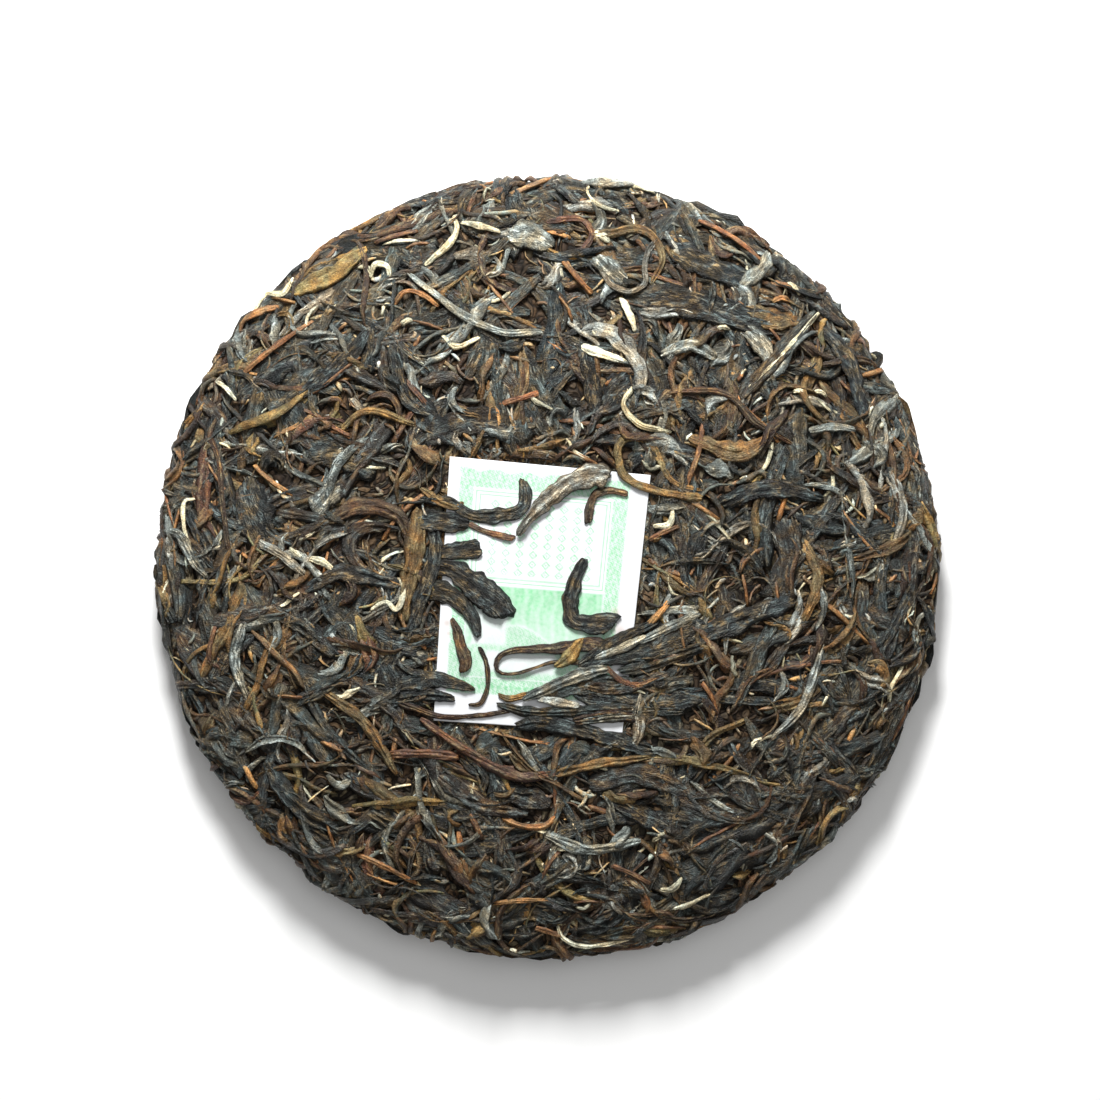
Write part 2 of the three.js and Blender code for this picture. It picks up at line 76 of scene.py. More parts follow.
def cake_outline(step):
    """The cake's outline as rows of radius and height, evenly spaced, from the middle of the face to the
    middle of the back: a superellipse for the face, a quarter ellipse under the rim, the flat foot, and
    half a cosine wave for the dimple. Also the unit tangents and the outward normals."""
    a = np.linspace(0, np.pi / 2, 600)
    face_r = CAKE_RADIUS * np.sin(a) ** (2 / FACE_FLATNESS)
    face_z = RIM_HEIGHT + (CAKE_THICKNESS - RIM_HEIGHT) * np.cos(a) ** (2 / FACE_SHOULDER)
    under_r = FOOT_RADIUS + (CAKE_RADIUS - FOOT_RADIUS) * np.cos(a[1:])
    under_z = RIM_HEIGHT * (1 - np.sin(a[1:]))
    back_r = np.linspace(DIMPLE_RADIUS, 0, 200)
    back_z = DIMPLE_DEPTH / 2 * (1 + np.cos(np.pi * back_r / DIMPLE_RADIUS))
    r = np.concatenate([face_r, under_r, back_r])
    z = np.concatenate([face_z, under_z, back_z])
    run = np.concatenate([[0], np.cumsum(np.hypot(np.diff(r), np.diff(z)))])
    s = np.arange(0, run[-1], step)
    line = np.stack([np.interp(s, run, r), np.interp(s, run, z)], 1)
    tangent = np.gradient(line, axis=0)
    tangent /= np.linalg.norm(tangent, axis=1)[:, None]
    return line, tangent, np.stack([-tangent[:, 1], tangent[:, 0]], 1)


OUTLINE, TANGENT, NORMAL = cake_outline(OUTLINE_STEP)
RIM_PLACE = int(OUTLINE[:, 0].argmax())


def ease(x, low, high):
    """A smooth step from 0 to 1 between two values."""
    t = np.clip((x - low) / (high - low), 0, 1)
    return t * t * (3 - 2 * t)


def beyond_ticket(x, y):
    """How far outside the ticket's four straight edges a point is, negative inside."""
    corners = TICKET_CORNERS + SHIFT
    edge = np.roll(corners, -1, 0) - corners
    out = np.stack([-edge[:, 1], edge[:, 0]], 1) / np.hypot(edge[:, 0], edge[:, 1])[:, None]
    gaps = [(x - cx) * ox + (y - cy) * oy for (cx, cy), (ox, oy) in zip(corners, out)]
    return np.max(gaps, axis=0)


def bump(x, y, z):
    """Two crossing waves whose direction turns slowly over the disc, so that they look like packed leaves.
    The factors are in radians a metre: 1900 is a wave every 3.3 mm, across a leaf, and 520 every 12 mm."""
    turn = 1.7 * np.sin(x * 43 + 0.6) + 1.3 * np.sin(y * 51 - 0.4)
    along = x * np.cos(turn) + y * np.sin(turn)
    across = y * np.cos(turn) - x * np.sin(turn)
    return np.sin(across * 1900 + np.sin(along * 310) + z * 900) * np.sin(along * 520 + z * 600)


def strip_faces(count, stations, around):
    """Faces of many closed surfaces, each of so many stations with so many points round it: four-sided
    ones round and along, and three-sided ones to both tips. The points of each are its sections in turn,
    then its two tips."""
    size = stations * around + 2
    start = np.arange(count)[:, None, None] * size
    i, k = np.meshgrid(np.arange(stations - 1), np.arange(around), indexing="ij")
    a, b = i * around + k, i * around + (k + 1) % around
    quads = (start[..., None] + np.stack([a, a + around, b + around, b], -1)).reshape(-1, 4)
    k = np.arange(around)
    last = (stations - 1) * around
    fan = np.stack([np.full(around, size - 2), k, (k + 1) % around], -1)
    end = np.stack([np.full(around, size - 1), last + (k + 1) % around, last + k], -1)
    tips = (start + np.concatenate([fan, end])).reshape(-1, 3)
    return quads.tolist() + tips.tolist()


def bed_surface():
    """Rings of points from the middle of the face to the middle of the back, each at the outline's radius
    and height less the bed's depth along the normal, plus the bump. The first and last are single points."""
    places = np.arange(0, len(OUTLINE), round(BED_STEP / OUTLINE_STEP))[1:]
    a = np.linspace(0, 2 * np.pi, BED_STEPS_ROUND, endpoint=False)
    r, z = OUTLINE[places, 0, None], OUTLINE[places, 1, None]
    nr, nz = NORMAL[places, 0, None], NORMAL[places, 1, None]
    x, y = r * np.cos(a) + SHIFT[0], r * np.sin(a) + SHIFT[1]
    covered = (places[:, None] < RIM_PLACE) * (1 - ease(beyond_ticket(x, y), -1 * MM, 3 * MM))
    rise = BED_BUMP * bump(x, y, z) - BED_DEPTH - BED_PAPER_DENT * covered
    radius = r + nr * rise
    rings = np.stack([radius * np.cos(a) + SHIFT[0], radius * np.sin(a) + SHIFT[1], z + nz * rise], -1)
    rings[..., 2] = np.maximum(rings[..., 2], BED_LOWEST)
    points = np.concatenate([rings.reshape(-1, 3), [rings[0].mean(0), rings[-1].mean(0)]])
    return points, strip_faces(1, len(rings), BED_STEPS_ROUND)


def linear(hex_colour):
    """An sRGB hex colour as linear red, green, blue and 1."""
    c = np.array([int(hex_colour[i : i + 2], 16) / 255 for i in (1, 3, 5)])
    c = np.where(c <= 0.04045, c / 12.92, ((c + 0.055) / 1.055) ** 2.4)
    return (*c.tolist(), 1.0)


def set_inputs(node, inputs):
    """Sets a node's inputs, by name or number, each to a value or to another node's output."""
    for name, value in inputs.items():
        if isinstance(value, bpy.types.NodeSocket):
            node.id_data.links.new(value, node.inputs[name])
        else:
            node.inputs[name].default_value = value


def add_node(tree, kind, inputs, out=0, palette=(), **settings):
    """Adds a shader node with its settings and inputs, and gives one of its outputs, by name or number. The
    colours of a palette are spread evenly over the node's ramp."""
    made = tree.nodes.new("ShaderNode" + kind)
    for name, value in settings.items():
        setattr(made, name, value)
    for i, shade in enumerate(palette):
        stops = made.color_ramp.elements
        stop = stops[i] if i < 2 else stops.new(1.0)
        stop.position = i / (len(palette) - 1)
        stop.color = linear(shade)
    set_inputs(made, inputs)
    return made.outputs[out]


def new_material(name):
    """A material, its node tree, and its shader, which Blender joins to the output."""
    material = bpy.data.materials.new(name)
    material.use_nodes = True
    return material, material.node_tree, material.node_tree.nodes["Principled BSDF"]


def add_piece(name, points, faces, material, node):
    """Makes a mesh object from points and faces, smooth, riding on the root, in place of a node."""
    mesh = bpy.data.meshes.new(name)
    mesh.from_pydata(points, [], faces)
    mesh.shade_smooth()
    mesh.materials.append(material)
    piece = bpy.data.objects.new(name, mesh)
    bpy.context.scene.collection.objects.link(piece)
    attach(piece, "root")
    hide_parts(node)
    return piece


def bed_material():
    """Crushed leaf scraps: cells of two or three millimetres, drawn out this way and that, each of one
    shade from nearly black to brown and tan, lower at their borders and darkened there by painted shade,
    with a fine fibre."""
    material, tree, shader = new_material("pressed tea leaf scraps")
    place = add_node(tree, "TexCoord", {}, "Object")
    drawn = {"Vector": place, "Scale": 1 / BED_DRAWN_PATCH, "Detail": 1.0}
    bend = {0: add_node(tree, "TexNoise", drawn, "Color"), 1: [BED_DRAWN] * 3, 2: place}
    bent = add_node(tree, "VectorMath", bend, operation="MULTIPLY_ADD")
    cells = {"Vector": bent, "Scale": 1 / BED_CELL}
    border = add_node(tree, "TexVoronoi", cells, "Distance", feature="DISTANCE_TO_EDGE")
    number = add_node(tree, "SeparateColor", {"Color": add_node(tree, "TexVoronoi", cells, "Color")}, "Red")
    grain = add_node(tree, "TexNoise", {"Vector": bent, "Scale": 1 / BED_GRAIN, "Detail": 3.0}, "Fac")
    # Painted shade: each scrap's colour darkens towards its border, where it dips into the gaps.
    edge = add_node(tree, "MapRange", dict(zip(RANGE_INPUTS, (border, 0.0, 0.22, 0.25, 1.0))))
    speck = add_node(tree, "MapRange", dict(zip(RANGE_INPUTS, (grain, 0.3, 0.7, 0.5, 1.8))))
    shade = add_node(tree, "Math", {0: edge, 1: speck}, operation="MULTIPLY")
    scrap = add_node(tree, "ValToRGB", {"Fac": number}, palette=BED_SCRAPS)
    colour = add_node(tree, "VectorMath", {0: scrap, "Scale": shade}, operation="SCALE")
    height = add_node(tree, "Math", {0: grain, 1: 0.3, 2: edge}, operation="MULTIPLY_ADD")
    relief = add_node(tree, "Bump", {"Height": height, "Distance": BED_RELIEF, "Strength": 1.0})
    look = {"Base Color": colour, "Roughness": 0.8, "Specular IOR Level": 0.2, "Normal": relief}
    set_inputs(shader, look)
    return material


points, faces = bed_surface()
add_piece("pressed_bed", points, faces, bed_material(), "cake")


# The large leaves: the biggest of the dried leaves, rolled lengthwise by hand before they were dried and
# then flattened by the press. Each is a closed strip that follows the cake's surface, with lengthwise
# folds. They lie where the solid cake has them, by the same rule.
GOLDEN = 0.6180339887
GOLDEN_ANGLE = 2.399963
HEADING_STEP = 0.7548776662
LENGTH_STEP = 0.5698402910
WIDTH_STEP = 0.8191725134
HEIGHT_STEP = 0.6710436067
FACE_LEAVES = 96
RIM_LEAVES = 30
BACK_LEAVES = 34
LARGE_SEED = 11
STATIONS = 18
AROUND = 13
SETTLE_REACH = 24
FINE_STEP = 1.0 * MM
EDGE_DROP = 0.97
UNDERSIDE = 0.6
MOST_SLANT = 0.9
MOST_JAG = 0.4
FACE_UP = 0.3
PAPER_DEPTH = 1.75 * MM
PAPER_CLIMB = 4.5 * MM
TABLE_GAP = 0.05 * MM
PRESSED_SOFT = 0.4 * MM
BAKE_SHAPE = 2.2
BAKE_SIDE = 0.06
BAKE_END = 0.08
BAKE_TIP = 0.03
# The tips count as fairly low, so the leaf material gives them painted shade.
TIP_LOW = 0.7
LEAF_NUMBER_STEP = 0.37
CRINKLE_SCALE = (0.38, 1.6, 1.0)
PATCH_SCALE = 0.24
GRAIN = 0.4 * MM
BLOTCH = 3.0 * MM
NEUTRAL = 0.47
# The cool tint stands for a painted sheen on the leaves; the warm tint is their own browner colour.
COOL_PAINTED_SHEEN = (0.79, 1.06, 1.26, 1.0)
WARM_TINT = (1.46, 1.07, 0.6, 1.0)
NOISE_INPUTS = ("Vector", "Scale", "Detail", "Roughness", "Distortion")


def past_rim(distance):
    """The outline's sample that is so many millimetres past the rim, or before it if negative."""
    return RIM_PLACE + round(distance * MM / OUTLINE_STEP)


def spread(k, step):
    """Evenly spread numbers from 0 to 1, one series for each step."""
    return (k * step + 0.5) % 1


def settle(point, near):
    """The nearest place on the cake's envelope to each point, looked for among the outline's samples near a
    known one, then slid along the tangent there. Gives the sample, the point and the outward normal."""
    radius = np.hypot(point[:, 0], point[:, 1])
    window = np.clip(near[:, None] + np.arange(-SETTLE_REACH, SETTLE_REACH + 1), 0, len(OUTLINE) - 1)
    gap = (OUTLINE[window, 0] - radius[:, None]) ** 2 + (OUTLINE[window, 1] - point[:, 2, None]) ** 2
    best = window[np.arange(len(near)), gap.argmin(1)]
    outwards, up = radius - OUTLINE[best, 0], point[:, 2] - OUTLINE[best, 1]
    slide = outwards * TANGENT[best, 0] + up * TANGENT[best, 1]
    r = OUTLINE[best, 0] + slide * TANGENT[best, 0]
    z = OUTLINE[best, 1] + slide * TANGENT[best, 1]
    x, y = point[:, 0] / np.maximum(radius, 1e-9), point[:, 1] / np.maximum(radius, 1e-9)
    nr, nz = NORMAL[best, 0], NORMAL[best, 1]
    return best, np.stack([r * x, r * y, z], 1), np.stack([nr * x, nr * y, nz], 1)


def walk(place, angle, heading, length, turns):
    """Lines over the envelope, one a row. Each starts at a sample of the outline and an angle round the
    cake, leaves at a heading from the way down the outline, and takes equal steps, each settled back on
    the envelope, turning by turns before the next. Gives points, normals, sides and directions."""
    out = np.stack([np.cos(angle), np.sin(angle), np.zeros_like(angle)], 1)
    around = np.stack([-out[:, 1], out[:, 0], out[:, 2]], 1)
    point = out * OUTLINE[place, 0, None]
    point[:, 2] = OUTLINE[place, 1]
    normal = out * NORMAL[place, 0, None]
    normal[:, 2] = NORMAL[place, 1]
    down = np.cross(around, normal)
    direction = down * np.cos(heading)[:, None] + around * np.sin(heading)[:, None]
    stations = turns.shape[1]
    rows = []
    for i in range(stations):
        direction = direction - normal * (direction * normal).sum(1)[:, None]
        direction /= np.linalg.norm(direction, axis=1)[:, None]
        side = np.cross(normal, direction)
        rows.append((point, normal, side, direction))
        place, point, normal = settle(point + direction * (length / (stations - 1))[:, None], place)
        turn = turns[:, i, None]
        direction = direction * np.cos(turn) + side * np.sin(turn)
    return [np.stack(column, 1) for column in zip(*rows)]


def by_area(share, low, high):
    """The outline's samples at which a share of the area between two samples lies behind."""
    area = np.cumsum(OUTLINE[low:high, 0])
    return low + np.searchsorted(area, share * area[-1]).clip(0, high - low - 1)


def under_paper(points, normals, lift, thick, roll, half):
    """The lift and the roll of each station, held down and flattened where the leaf's near edge comes to
    the ticket, so that the leaf runs under the paper."""
    gap = beyond_ticket(points[..., 0] + SHIFT[0], points[..., 1] + SHIFT[1]) - 0.8 * half
    gap = np.where(normals[..., 2] > FACE_UP, gap, 1)
    most = -PAPER_DEPTH - thick + PAPER_CLIMB * ease(gap, 0.4 * MM, 3.4 * MM)
    return np.minimum(lift, most), roll * ease(gap, 0, 3 * MM)


def uneven(rng, *shape):
    """Random numbers, smoothed a little along the last axis but one, which is along the leaf."""
    raw = rng.normal(0, 1, shape)
    return (raw + np.roll(raw, 1, -2) * 0.6 + np.roll(raw, -1, -2) * 0.6) / 1.3


def strips(rng, route, half, thick, lift, roll, folds, depth, drift, around, ragged, crumple, flat, torn):
    """Closed strips along lines. Across, each has a domed top, squarer the higher flat is, raised and sunk
    by a cosine of the place across, whose phase drifts along the strip, so that its folds wander, and a
    flatter underside. Both edges are ragged, and the top is crumpled, by smoothed random shares, smaller
    where stations are close. The ends are cut at a slant and jagged, more so the higher torn is. The
    section is turned by roll about the line, and set above the envelope by lift. Rows of half, thick, lift
    and roll are stations.
    Gives the points of the sections, with a tip before the first and after the last, the way along and
    across each in metres, and how low each lies: 0 on a ridge, 1 in a groove, at an edge or below."""
    points, normals, sides, directions = route
    count, stations = half.shape
    top = np.linspace(-1, 1, around - around // 3)
    v = np.concatenate([top, np.linspace(1, -1, around // 3 + 2)[1:-1]])
    dome = np.sqrt(1 - EDGE_DROP * np.abs(v) ** flat)
    wave = np.cos(np.pi * folds[:, None, None] * (v - drift[:, :, None]))
    step = np.linalg.norm(np.diff(points, axis=1), axis=2)
    fine = np.clip(step.mean(1) / FINE_STEP, 0.15, 1)[:, None, None]
    upper = dome * (1 + depth[:, None, None] * wave + crumple * fine * uneven(rng, count, stations, around))
    on_top = np.arange(around) < len(top)
    low = np.where(on_top, np.clip(1 - upper / (1 + depth[:, None, None]), 0, 1), 1)
    height = np.where(on_top, upper, -UNDERSIDE * dome) * thick[..., None]
    edges = 1 + ragged * fine * uneven(rng, count, stations, 2)
    across = v * half[..., None] * np.where(v < 0, edges[..., :1], edges[..., 1:])
    c, s = np.cos(roll)[..., None], np.sin(roll)[..., None]
    sideways = across * c - height * s
    upwards = across * s + height * c + lift[..., None]
    slant = torn * rng.uniform(-MOST_SLANT, MOST_SLANT, (2, count, 1, 1))
    jag = torn * rng.uniform(-MOST_JAG, MOST_JAG, (count, 1, around)) * half[..., None]
    t = np.linspace(-1, 1, stations)[:, None]
    ahead = np.where(t < 0, slant[0], slant[1]) * across * t**4 + jag * t**8 * np.sign(t)
    grid = points[:, :, None] + sides[:, :, None] * sideways[..., None]
    grid = grid + normals[:, :, None] * upwards[..., None] + directions[:, :, None] * ahead[..., None]
    point_out = 0.4 - 0.3 * min(torn, 1)
    first = grid[:, 0].mean(1) - directions[:, 0] * half[:, 0, None] * point_out
    last = grid[:, -1].mean(1) + directions[:, -1] * half[:, -1, None] * point_out
    along = np.concatenate([np.zeros((count, 1)), np.cumsum(step, 1)], 1)
    return grid, first, last, np.broadcast_to(along[..., None], across.shape), across, low


def bake_cells(count, stations, around):
    """Where each face's corners lie on a map that gives each strip a cell of its own, in rows, with a
    margin: the way along it runs across the cell, and the way round it up the cell."""
    columns = max(1, round(np.sqrt(count / BAKE_SHAPE)))
    cell = np.arange(count)
    size = np.array([1 / columns, 1 / -(-count // columns)])
    corner = (np.stack([cell % columns, cell // columns], 1) * size)[:, None, None]
    i, k = np.meshgrid(np.arange(stations - 1), np.arange(around), indexing="ij")
    steps = np.array([(0, 0), (1, 0), (1, 1), (0, 1)])
    u = BAKE_END + (1 - 2 * BAKE_END) * (i[..., None] + steps[:, 0]) / (stations - 1)
    v = BAKE_SIDE + (1 - 2 * BAKE_SIDE) * (k[..., None] + steps[:, 1]) / around
    quads = corner[:, None] + np.stack([u, v], -1) * size
    low, high = v[0, :, 0], v[0, :, 3]
    tip = np.full((around, 3), (BAKE_TIP, BAKE_END, BAKE_END))
    fan = np.stack([tip, np.stack([(low + high) / 2, low, high], 1)], -1)
    end = np.stack([1 - tip, np.stack([(low + high) / 2, high, low], 1)], -1)
    tips = corner + np.concatenate([fan, end]) * size
    return np.concatenate([quads.reshape(-1, 2), tips.reshape(-1, 2)])


def pressed_flat(z):
    """Heights with all that would reach below the table pressed to just above it, by an exponential, so
    that the leaves of the foot keep their order."""
    low = TABLE_GAP + PRESSED_SOFT
    return np.maximum(z, low) + PRESSED_SOFT * (np.exp(np.minimum(z - low, 0) / PRESSED_SOFT) - 1)


def keep_values(piece, name, values):
    """Keeps one number for each point of a piece, or a row of three, as an attribute for its material."""
    kind, field = ("FLOAT_VECTOR", "vector") if values.ndim == 2 else ("FLOAT", "value")
    piece.data.attributes.new(name, kind, "POINT").data.foreach_set(field, values.ravel())


def add_strips(name, made, tone, material, node):
    """Makes one piece of many strips, with the way along and across each leaf in millimetres, its own
    number, its tone and how low each point lies kept as attributes for the material."""
    grid, first, last, along, across, low = made
    count, stations, around = grid.shape[:3]
    points = np.concatenate([grid.reshape(count, -1, 3), first[:, None], last[:, None]], 1).reshape(-1, 3)
    points[:, :2] += SHIFT
    points[:, 2] = pressed_flat(points[:, 2])
    piece = add_piece(name, points, strip_faces(count, stations, around), material, node)
    ends = np.stack([along[:, 0, 0], along[:, -1, 0]], 1)
    lengthwise = np.concatenate([along.reshape(count, -1), ends], 1)
    crosswise = np.concatenate([across.reshape(count, -1), np.zeros((count, 2))], 1)
    number = np.broadcast_to(np.arange(count)[:, None] * LEAF_NUMBER_STEP, lengthwise.shape)
    keep_values(piece, "leaf", np.stack([lengthwise / MM, crosswise / MM, number], -1).reshape(-1, 3))
    keep_values(piece, "tone", np.repeat(tone, lengthwise.shape[1]))
    # How low each point lies sets the painted shade of grooves, edges, tips and underside in the leaf
    # material.
    lows = np.concatenate([low.reshape(count, -1), np.full((count, 2), TIP_LOW)], 1)
    keep_values(piece, "low", lows.ravel())
    cells = bake_cells(count, stations, around)
    piece.data.uv_layers.new(name="OFBake").data.foreach_set("uv", cells.ravel())


def leaf_material(name, palette, worn, wear, roughness, relief, tint_share):
    """Dried leaf. The tone of each leaf picks its colour from the palette, and patches of about four
    millimetres turn it browner, or cooler as a painted sheen. Folds are rubbed paler on their ridges, and
    painted shade makes them nearly black in their grooves, at the edges, at the tips and underneath.
    Crinkles 0.6 mm apart and 2.6 mm long get painted shade in their creases; crinkles, blotches of three
    millimetres and a grain of 0.4 mm vary the shade, and crinkles and grain roughen the surface."""
    material, tree, shader = new_material(name)
    leaf, tone, low = (
        add_node(tree, "Attribute", {}, out, attribute_name=key)
        for key, out in (("leaf", "Vector"), ("tone", "Fac"), ("low", "Fac"))
    )
    place = add_node(tree, "TexCoord", {}, "Object")
    base = add_node(tree, "ValToRGB", {"Fac": tone}, palette=palette)
    lengthwise = add_node(tree, "Mapping", {"Vector": leaf, "Scale": CRINKLE_SCALE})
    noise, share = {}, {}
    for key, *values in (
        ("crinkle", lengthwise, 1.0, 5.0, 0.66, 1.1),
        ("grain", place, 1 / GRAIN, 2.0, 0.6, 0.0),
        ("blotch", place, 1 / BLOTCH, 3.0, 0.5, 0.0),
        ("patch", leaf, PATCH_SCALE, 4.0, 0.6, 0.4),
    ):
        noise[key] = add_node(tree, "TexNoise", dict(zip(NOISE_INPUTS, values)), "Fac")
    coolest, warmest = NEUTRAL * (1 - tint_share), NEUTRAL + (1 - NEUTRAL) * tint_share
    for key, *values in (
        ("rubbed", noise["crinkle"], 0.46, 0.66, 0.0, wear),
        ("high", low, 0.1, 0.6, 1.0, 0.12),
        # Painted shade: the lower a point lies in its leaf, in a groove, at an edge, at a tip or on the
        # underside, the darker its colour.
        ("deep", low, 0.35, 1.0, 1.0, 0.56),
        # Painted shade in the crinkles' creases, the low parts of the same noise that raises the bump.
        ("painted_crease_shade", noise["crinkle"], 0.33, 0.5, 0.48, 1.0),
        ("blotch", noise["blotch"], 0.32, 0.68, 0.55, 1.45),
        ("grain", noise["grain"], 0.3, 0.7, 0.6, 1.9),
        ("warm", noise["patch"], 0.42, 0.62, coolest, warmest),
    ):
        share[key] = add_node(tree, "MapRange", dict(zip(RANGE_INPUTS, values)))
    worn_share = add_node(tree, "Math", {0: share["rubbed"], 1: share["high"]}, operation="MULTIPLY")
    paler = add_node(tree, "Mix", {0: worn_share, 6: base, 7: linear(worn)}, 2, data_type="RGBA")
    # Patches turn cool as a painted sheen, or warm as the leaf's own browner colour.
    tint = add_node(tree, "Mix", {0: share["warm"], 6: COOL_PAINTED_SHEEN, 7: WARM_TINT}, 2, data_type="RGBA")
    shaded = add_node(tree, "VectorMath", {0: paler, 1: tint}, operation="MULTIPLY")
    # The painted shade of grooves, edges and crinkle creases, then the blotches and grain, scale the colour.
    for key in ("deep", "painted_crease_shade", "blotch", "grain"):
        shaded = add_node(tree, "VectorMath", {0: shaded, "Scale": share[key]}, operation="SCALE")
    height = add_node(tree, "Math", {0: noise["crinkle"], 1: noise["grain"]}, operation="ADD")
    rough = add_node(tree, "Bump", {"Height": height, "Distance": relief, "Strength": 1.0})
    set_inputs(shader, {"Base Color": shaded, "Roughness": roughness, "IOR": 1.45, "Normal": rough})
    return material


def taper(t, start, end, reach=0.32):
    """Width along a leaf as a share: 1 in the middle, curving down to start and end at its ends."""
    near, far = np.clip(1 - t / reach, 0, 1) ** 2, np.clip(1 - (1 - t) / reach, 0, 1) ** 2
    return 1 - (1 - start[:, None]) * near - (1 - end[:, None]) * far


def source_leaves(count, low, high, along_rim):
    """The larger leaves by the rule of the solid cake: places by the golden angle, evenly by area, and
    headings, sizes and bends from other evenly spread series."""
    k = np.arange(count)
    place = by_area((k + 0.5) / count, low, high)
    heading = spread(k, HEADING_STEP) * 2 * np.pi
    if along_rim:
        heading = np.pi / 2 + 0.7 * (spread(k, GOLDEN) - 0.5)
    length = (15 + 19 * spread(k, LENGTH_STEP)) * MM
    width = (2.8 + 3.6 * spread(k, WIDTH_STEP) ** 2) * MM
    height = (0.55 + 0.4 * spread(k, HEIGHT_STEP)) * MM
    bend = 1.8 * (spread(k, GOLDEN) - 0.5)
    return place, k * GOLDEN_ANGLE, heading, length, width, height, bend


large = [
    source_leaves(FACE_LEAVES, 0, past_rim(-6), False),
    source_leaves(RIM_LEAVES, past_rim(-10), past_rim(14), True),
    source_leaves(BACK_LEAVES, past_rim(8), len(OUTLINE), False),
]
place, angle, heading, length, width, height, bend = [np.concatenate(part) for part in zip(*large)]
rng = np.random.default_rng(LARGE_SEED)
n = len(place)
t = np.linspace(0, 1, STATIONS)
route = walk(place, angle, heading, length, np.repeat(bend[:, None] / (STATIONS - 1), STATIONS, 1))
ends = rng.uniform(0.15, 0.7, (2, n))
wobble = 1 + 0.12 * np.sin(2 * np.pi * (rng.uniform(1, 2.4, (n, 1)) * t + rng.uniform(0, 1, (n, 1))))
half = width[:, None] / 2 * taper(t, *ends) * wobble
thick = height[:, None] * (0.4 + 0.6 * taper(t, *ends)) * 0.7
lift = -height[:, None] * 0.75 + 0.15 * MM * np.sin(7 * t + rng.uniform(0, 6, (n, 1)))
roll = 0.3 * np.sin(2 * np.pi * (0.8 * t + rng.uniform(0, 1, (n, 1))))
lift, roll = under_paper(route[0], route[1], lift, thick, roll, half)
folds, depth = rng.uniform(1.6, 3.0, n), rng.uniform(0.15, 0.45, n)
drift = rng.uniform(0, 2, (n, 1)) + rng.uniform(-0.8, 0.8, (n, 1)) * t
shares = dict(ragged=0.1, crumple=0.2, flat=3.0, torn=0.5)
made = strips(rng, route, half, thick, lift, roll, folds, depth, drift, AROUND, **shares)
dark_leaf = leaf_material(
    "dried tea leaf, dark",
    ["#121210", "#1f1f1b", "#2e2b23", "#181613", "#392d23", "#222423", "#403e35", "#2e221a"],
    worn="#a19d8f", wear=0.5, roughness=0.38, relief=0.7 * MM, tint_share=1.0,
)
add_strips("large_leaves", made, rng.uniform(0, 1, n), dark_leaf, "cake")


# The broad leaves: flat pieces of older leaf that lie deep in the mat and fill it between the others.
# They were torn in the rolling, so their ends are blunt, and the press left them nearly flat.
FACE_END = past_rim(20)
BACK_START = past_rim(12)
RIM_PULL = 0.7
RIM_PULL_FROM = 60 * MM
RIM_PULL_FULL = 97 * MM
FOOT_EDGE = 90 * MM


def flow(x, y):
    """The way that leaves lie together over the face, as an angle that turns smoothly from one bundle to
    the next, by two bent waves of 13 to 19 cm."""
    first = 2.6 * np.sin(x * 41 + 0.8 * np.sin(y * 37 + 1.0) + 0.4)
    return first + 2.3 * np.sin(y * 47 - 1.1 * np.sin(x * 33 - 0.5) + 2.0)


def strewn(rng, on_face, on_back, disorder, bundle, uphill):
    """Places evenly by area, in a spiral by the golden angle that is shaken a little, and headings. A share
    uphill of the places in the face's lower half, as the ticket is read, is moved to the upper half. Over
    the face a heading is the flow, more or less disordered, but the nearer to the rim, the more leaves lie
    along it. Each bundle of neighbours in the series shares a place and a heading, side by side."""
    places, angles = [], []
    for count, low, high in ((on_face, 0, FACE_END), (on_back, BACK_START, len(OUTLINE))):
        k = np.arange(-(-count // bundle))
        shares = (k + rng.uniform(0, 1, len(k))) / len(k)
        places.append(np.repeat(by_area(shares, low, high), bundle)[:count])
        shaken = k * GOLDEN_ANGLE + rng.normal(0, 0.06, len(k)) + 2 * np.pi * rng.uniform()
        angles.append(np.repeat(shaken, bundle)[:count])
    place, angle = np.concatenate(places), np.concatenate(angles)
    n = len(place)
    group = np.arange(n) // bundle
    moved = (rng.uniform(0, 1, group.max() + 1)[group] < uphill) & (place < RIM_PLACE) & (np.sin(angle) < 0)
    angle = np.where(moved, -angle, angle)
    r = OUTLINE[place, 0]
    x, y = r * np.cos(angle), r * np.sin(angle)
    heading = flow(x, y) - angle + disorder * rng.normal(0, 1, group.max() + 1)[group]
    chance = rng.uniform(0, 1, group.max() + 1)[group]
    near_rim = ease(r, RIM_PULL_FROM, RIM_PULL_FULL) * RIM_PULL
    near_rim = np.where((place > RIM_PLACE) & (r < FOOT_EDGE), 0, near_rim)
    along_rim = np.pi / 2 * np.where(chance < near_rim / 2, -1, 1) + 0.3 * rng.normal(0, 1, n)
    heading = np.where(chance < near_rim, along_rim, heading + 0.12 * rng.normal(0, 1, n))
    if bundle > 1:
        order = np.arange(n) % bundle - (bundle - 1) / 2
        aside = order * rng.uniform(1.2, 2.2, n) * MM
        ahead = rng.uniform(-4, 4, n) * MM
        down = -np.sin(heading) * aside + np.cos(heading) * ahead
        across = np.cos(heading) * aside + np.sin(heading) * ahead
        place = np.clip(place + np.round(down / OUTLINE_STEP).astype(int), 0, len(OUTLINE) - 1)
        angle = angle + across / np.maximum(r, 5 * MM)
    return place, angle, heading


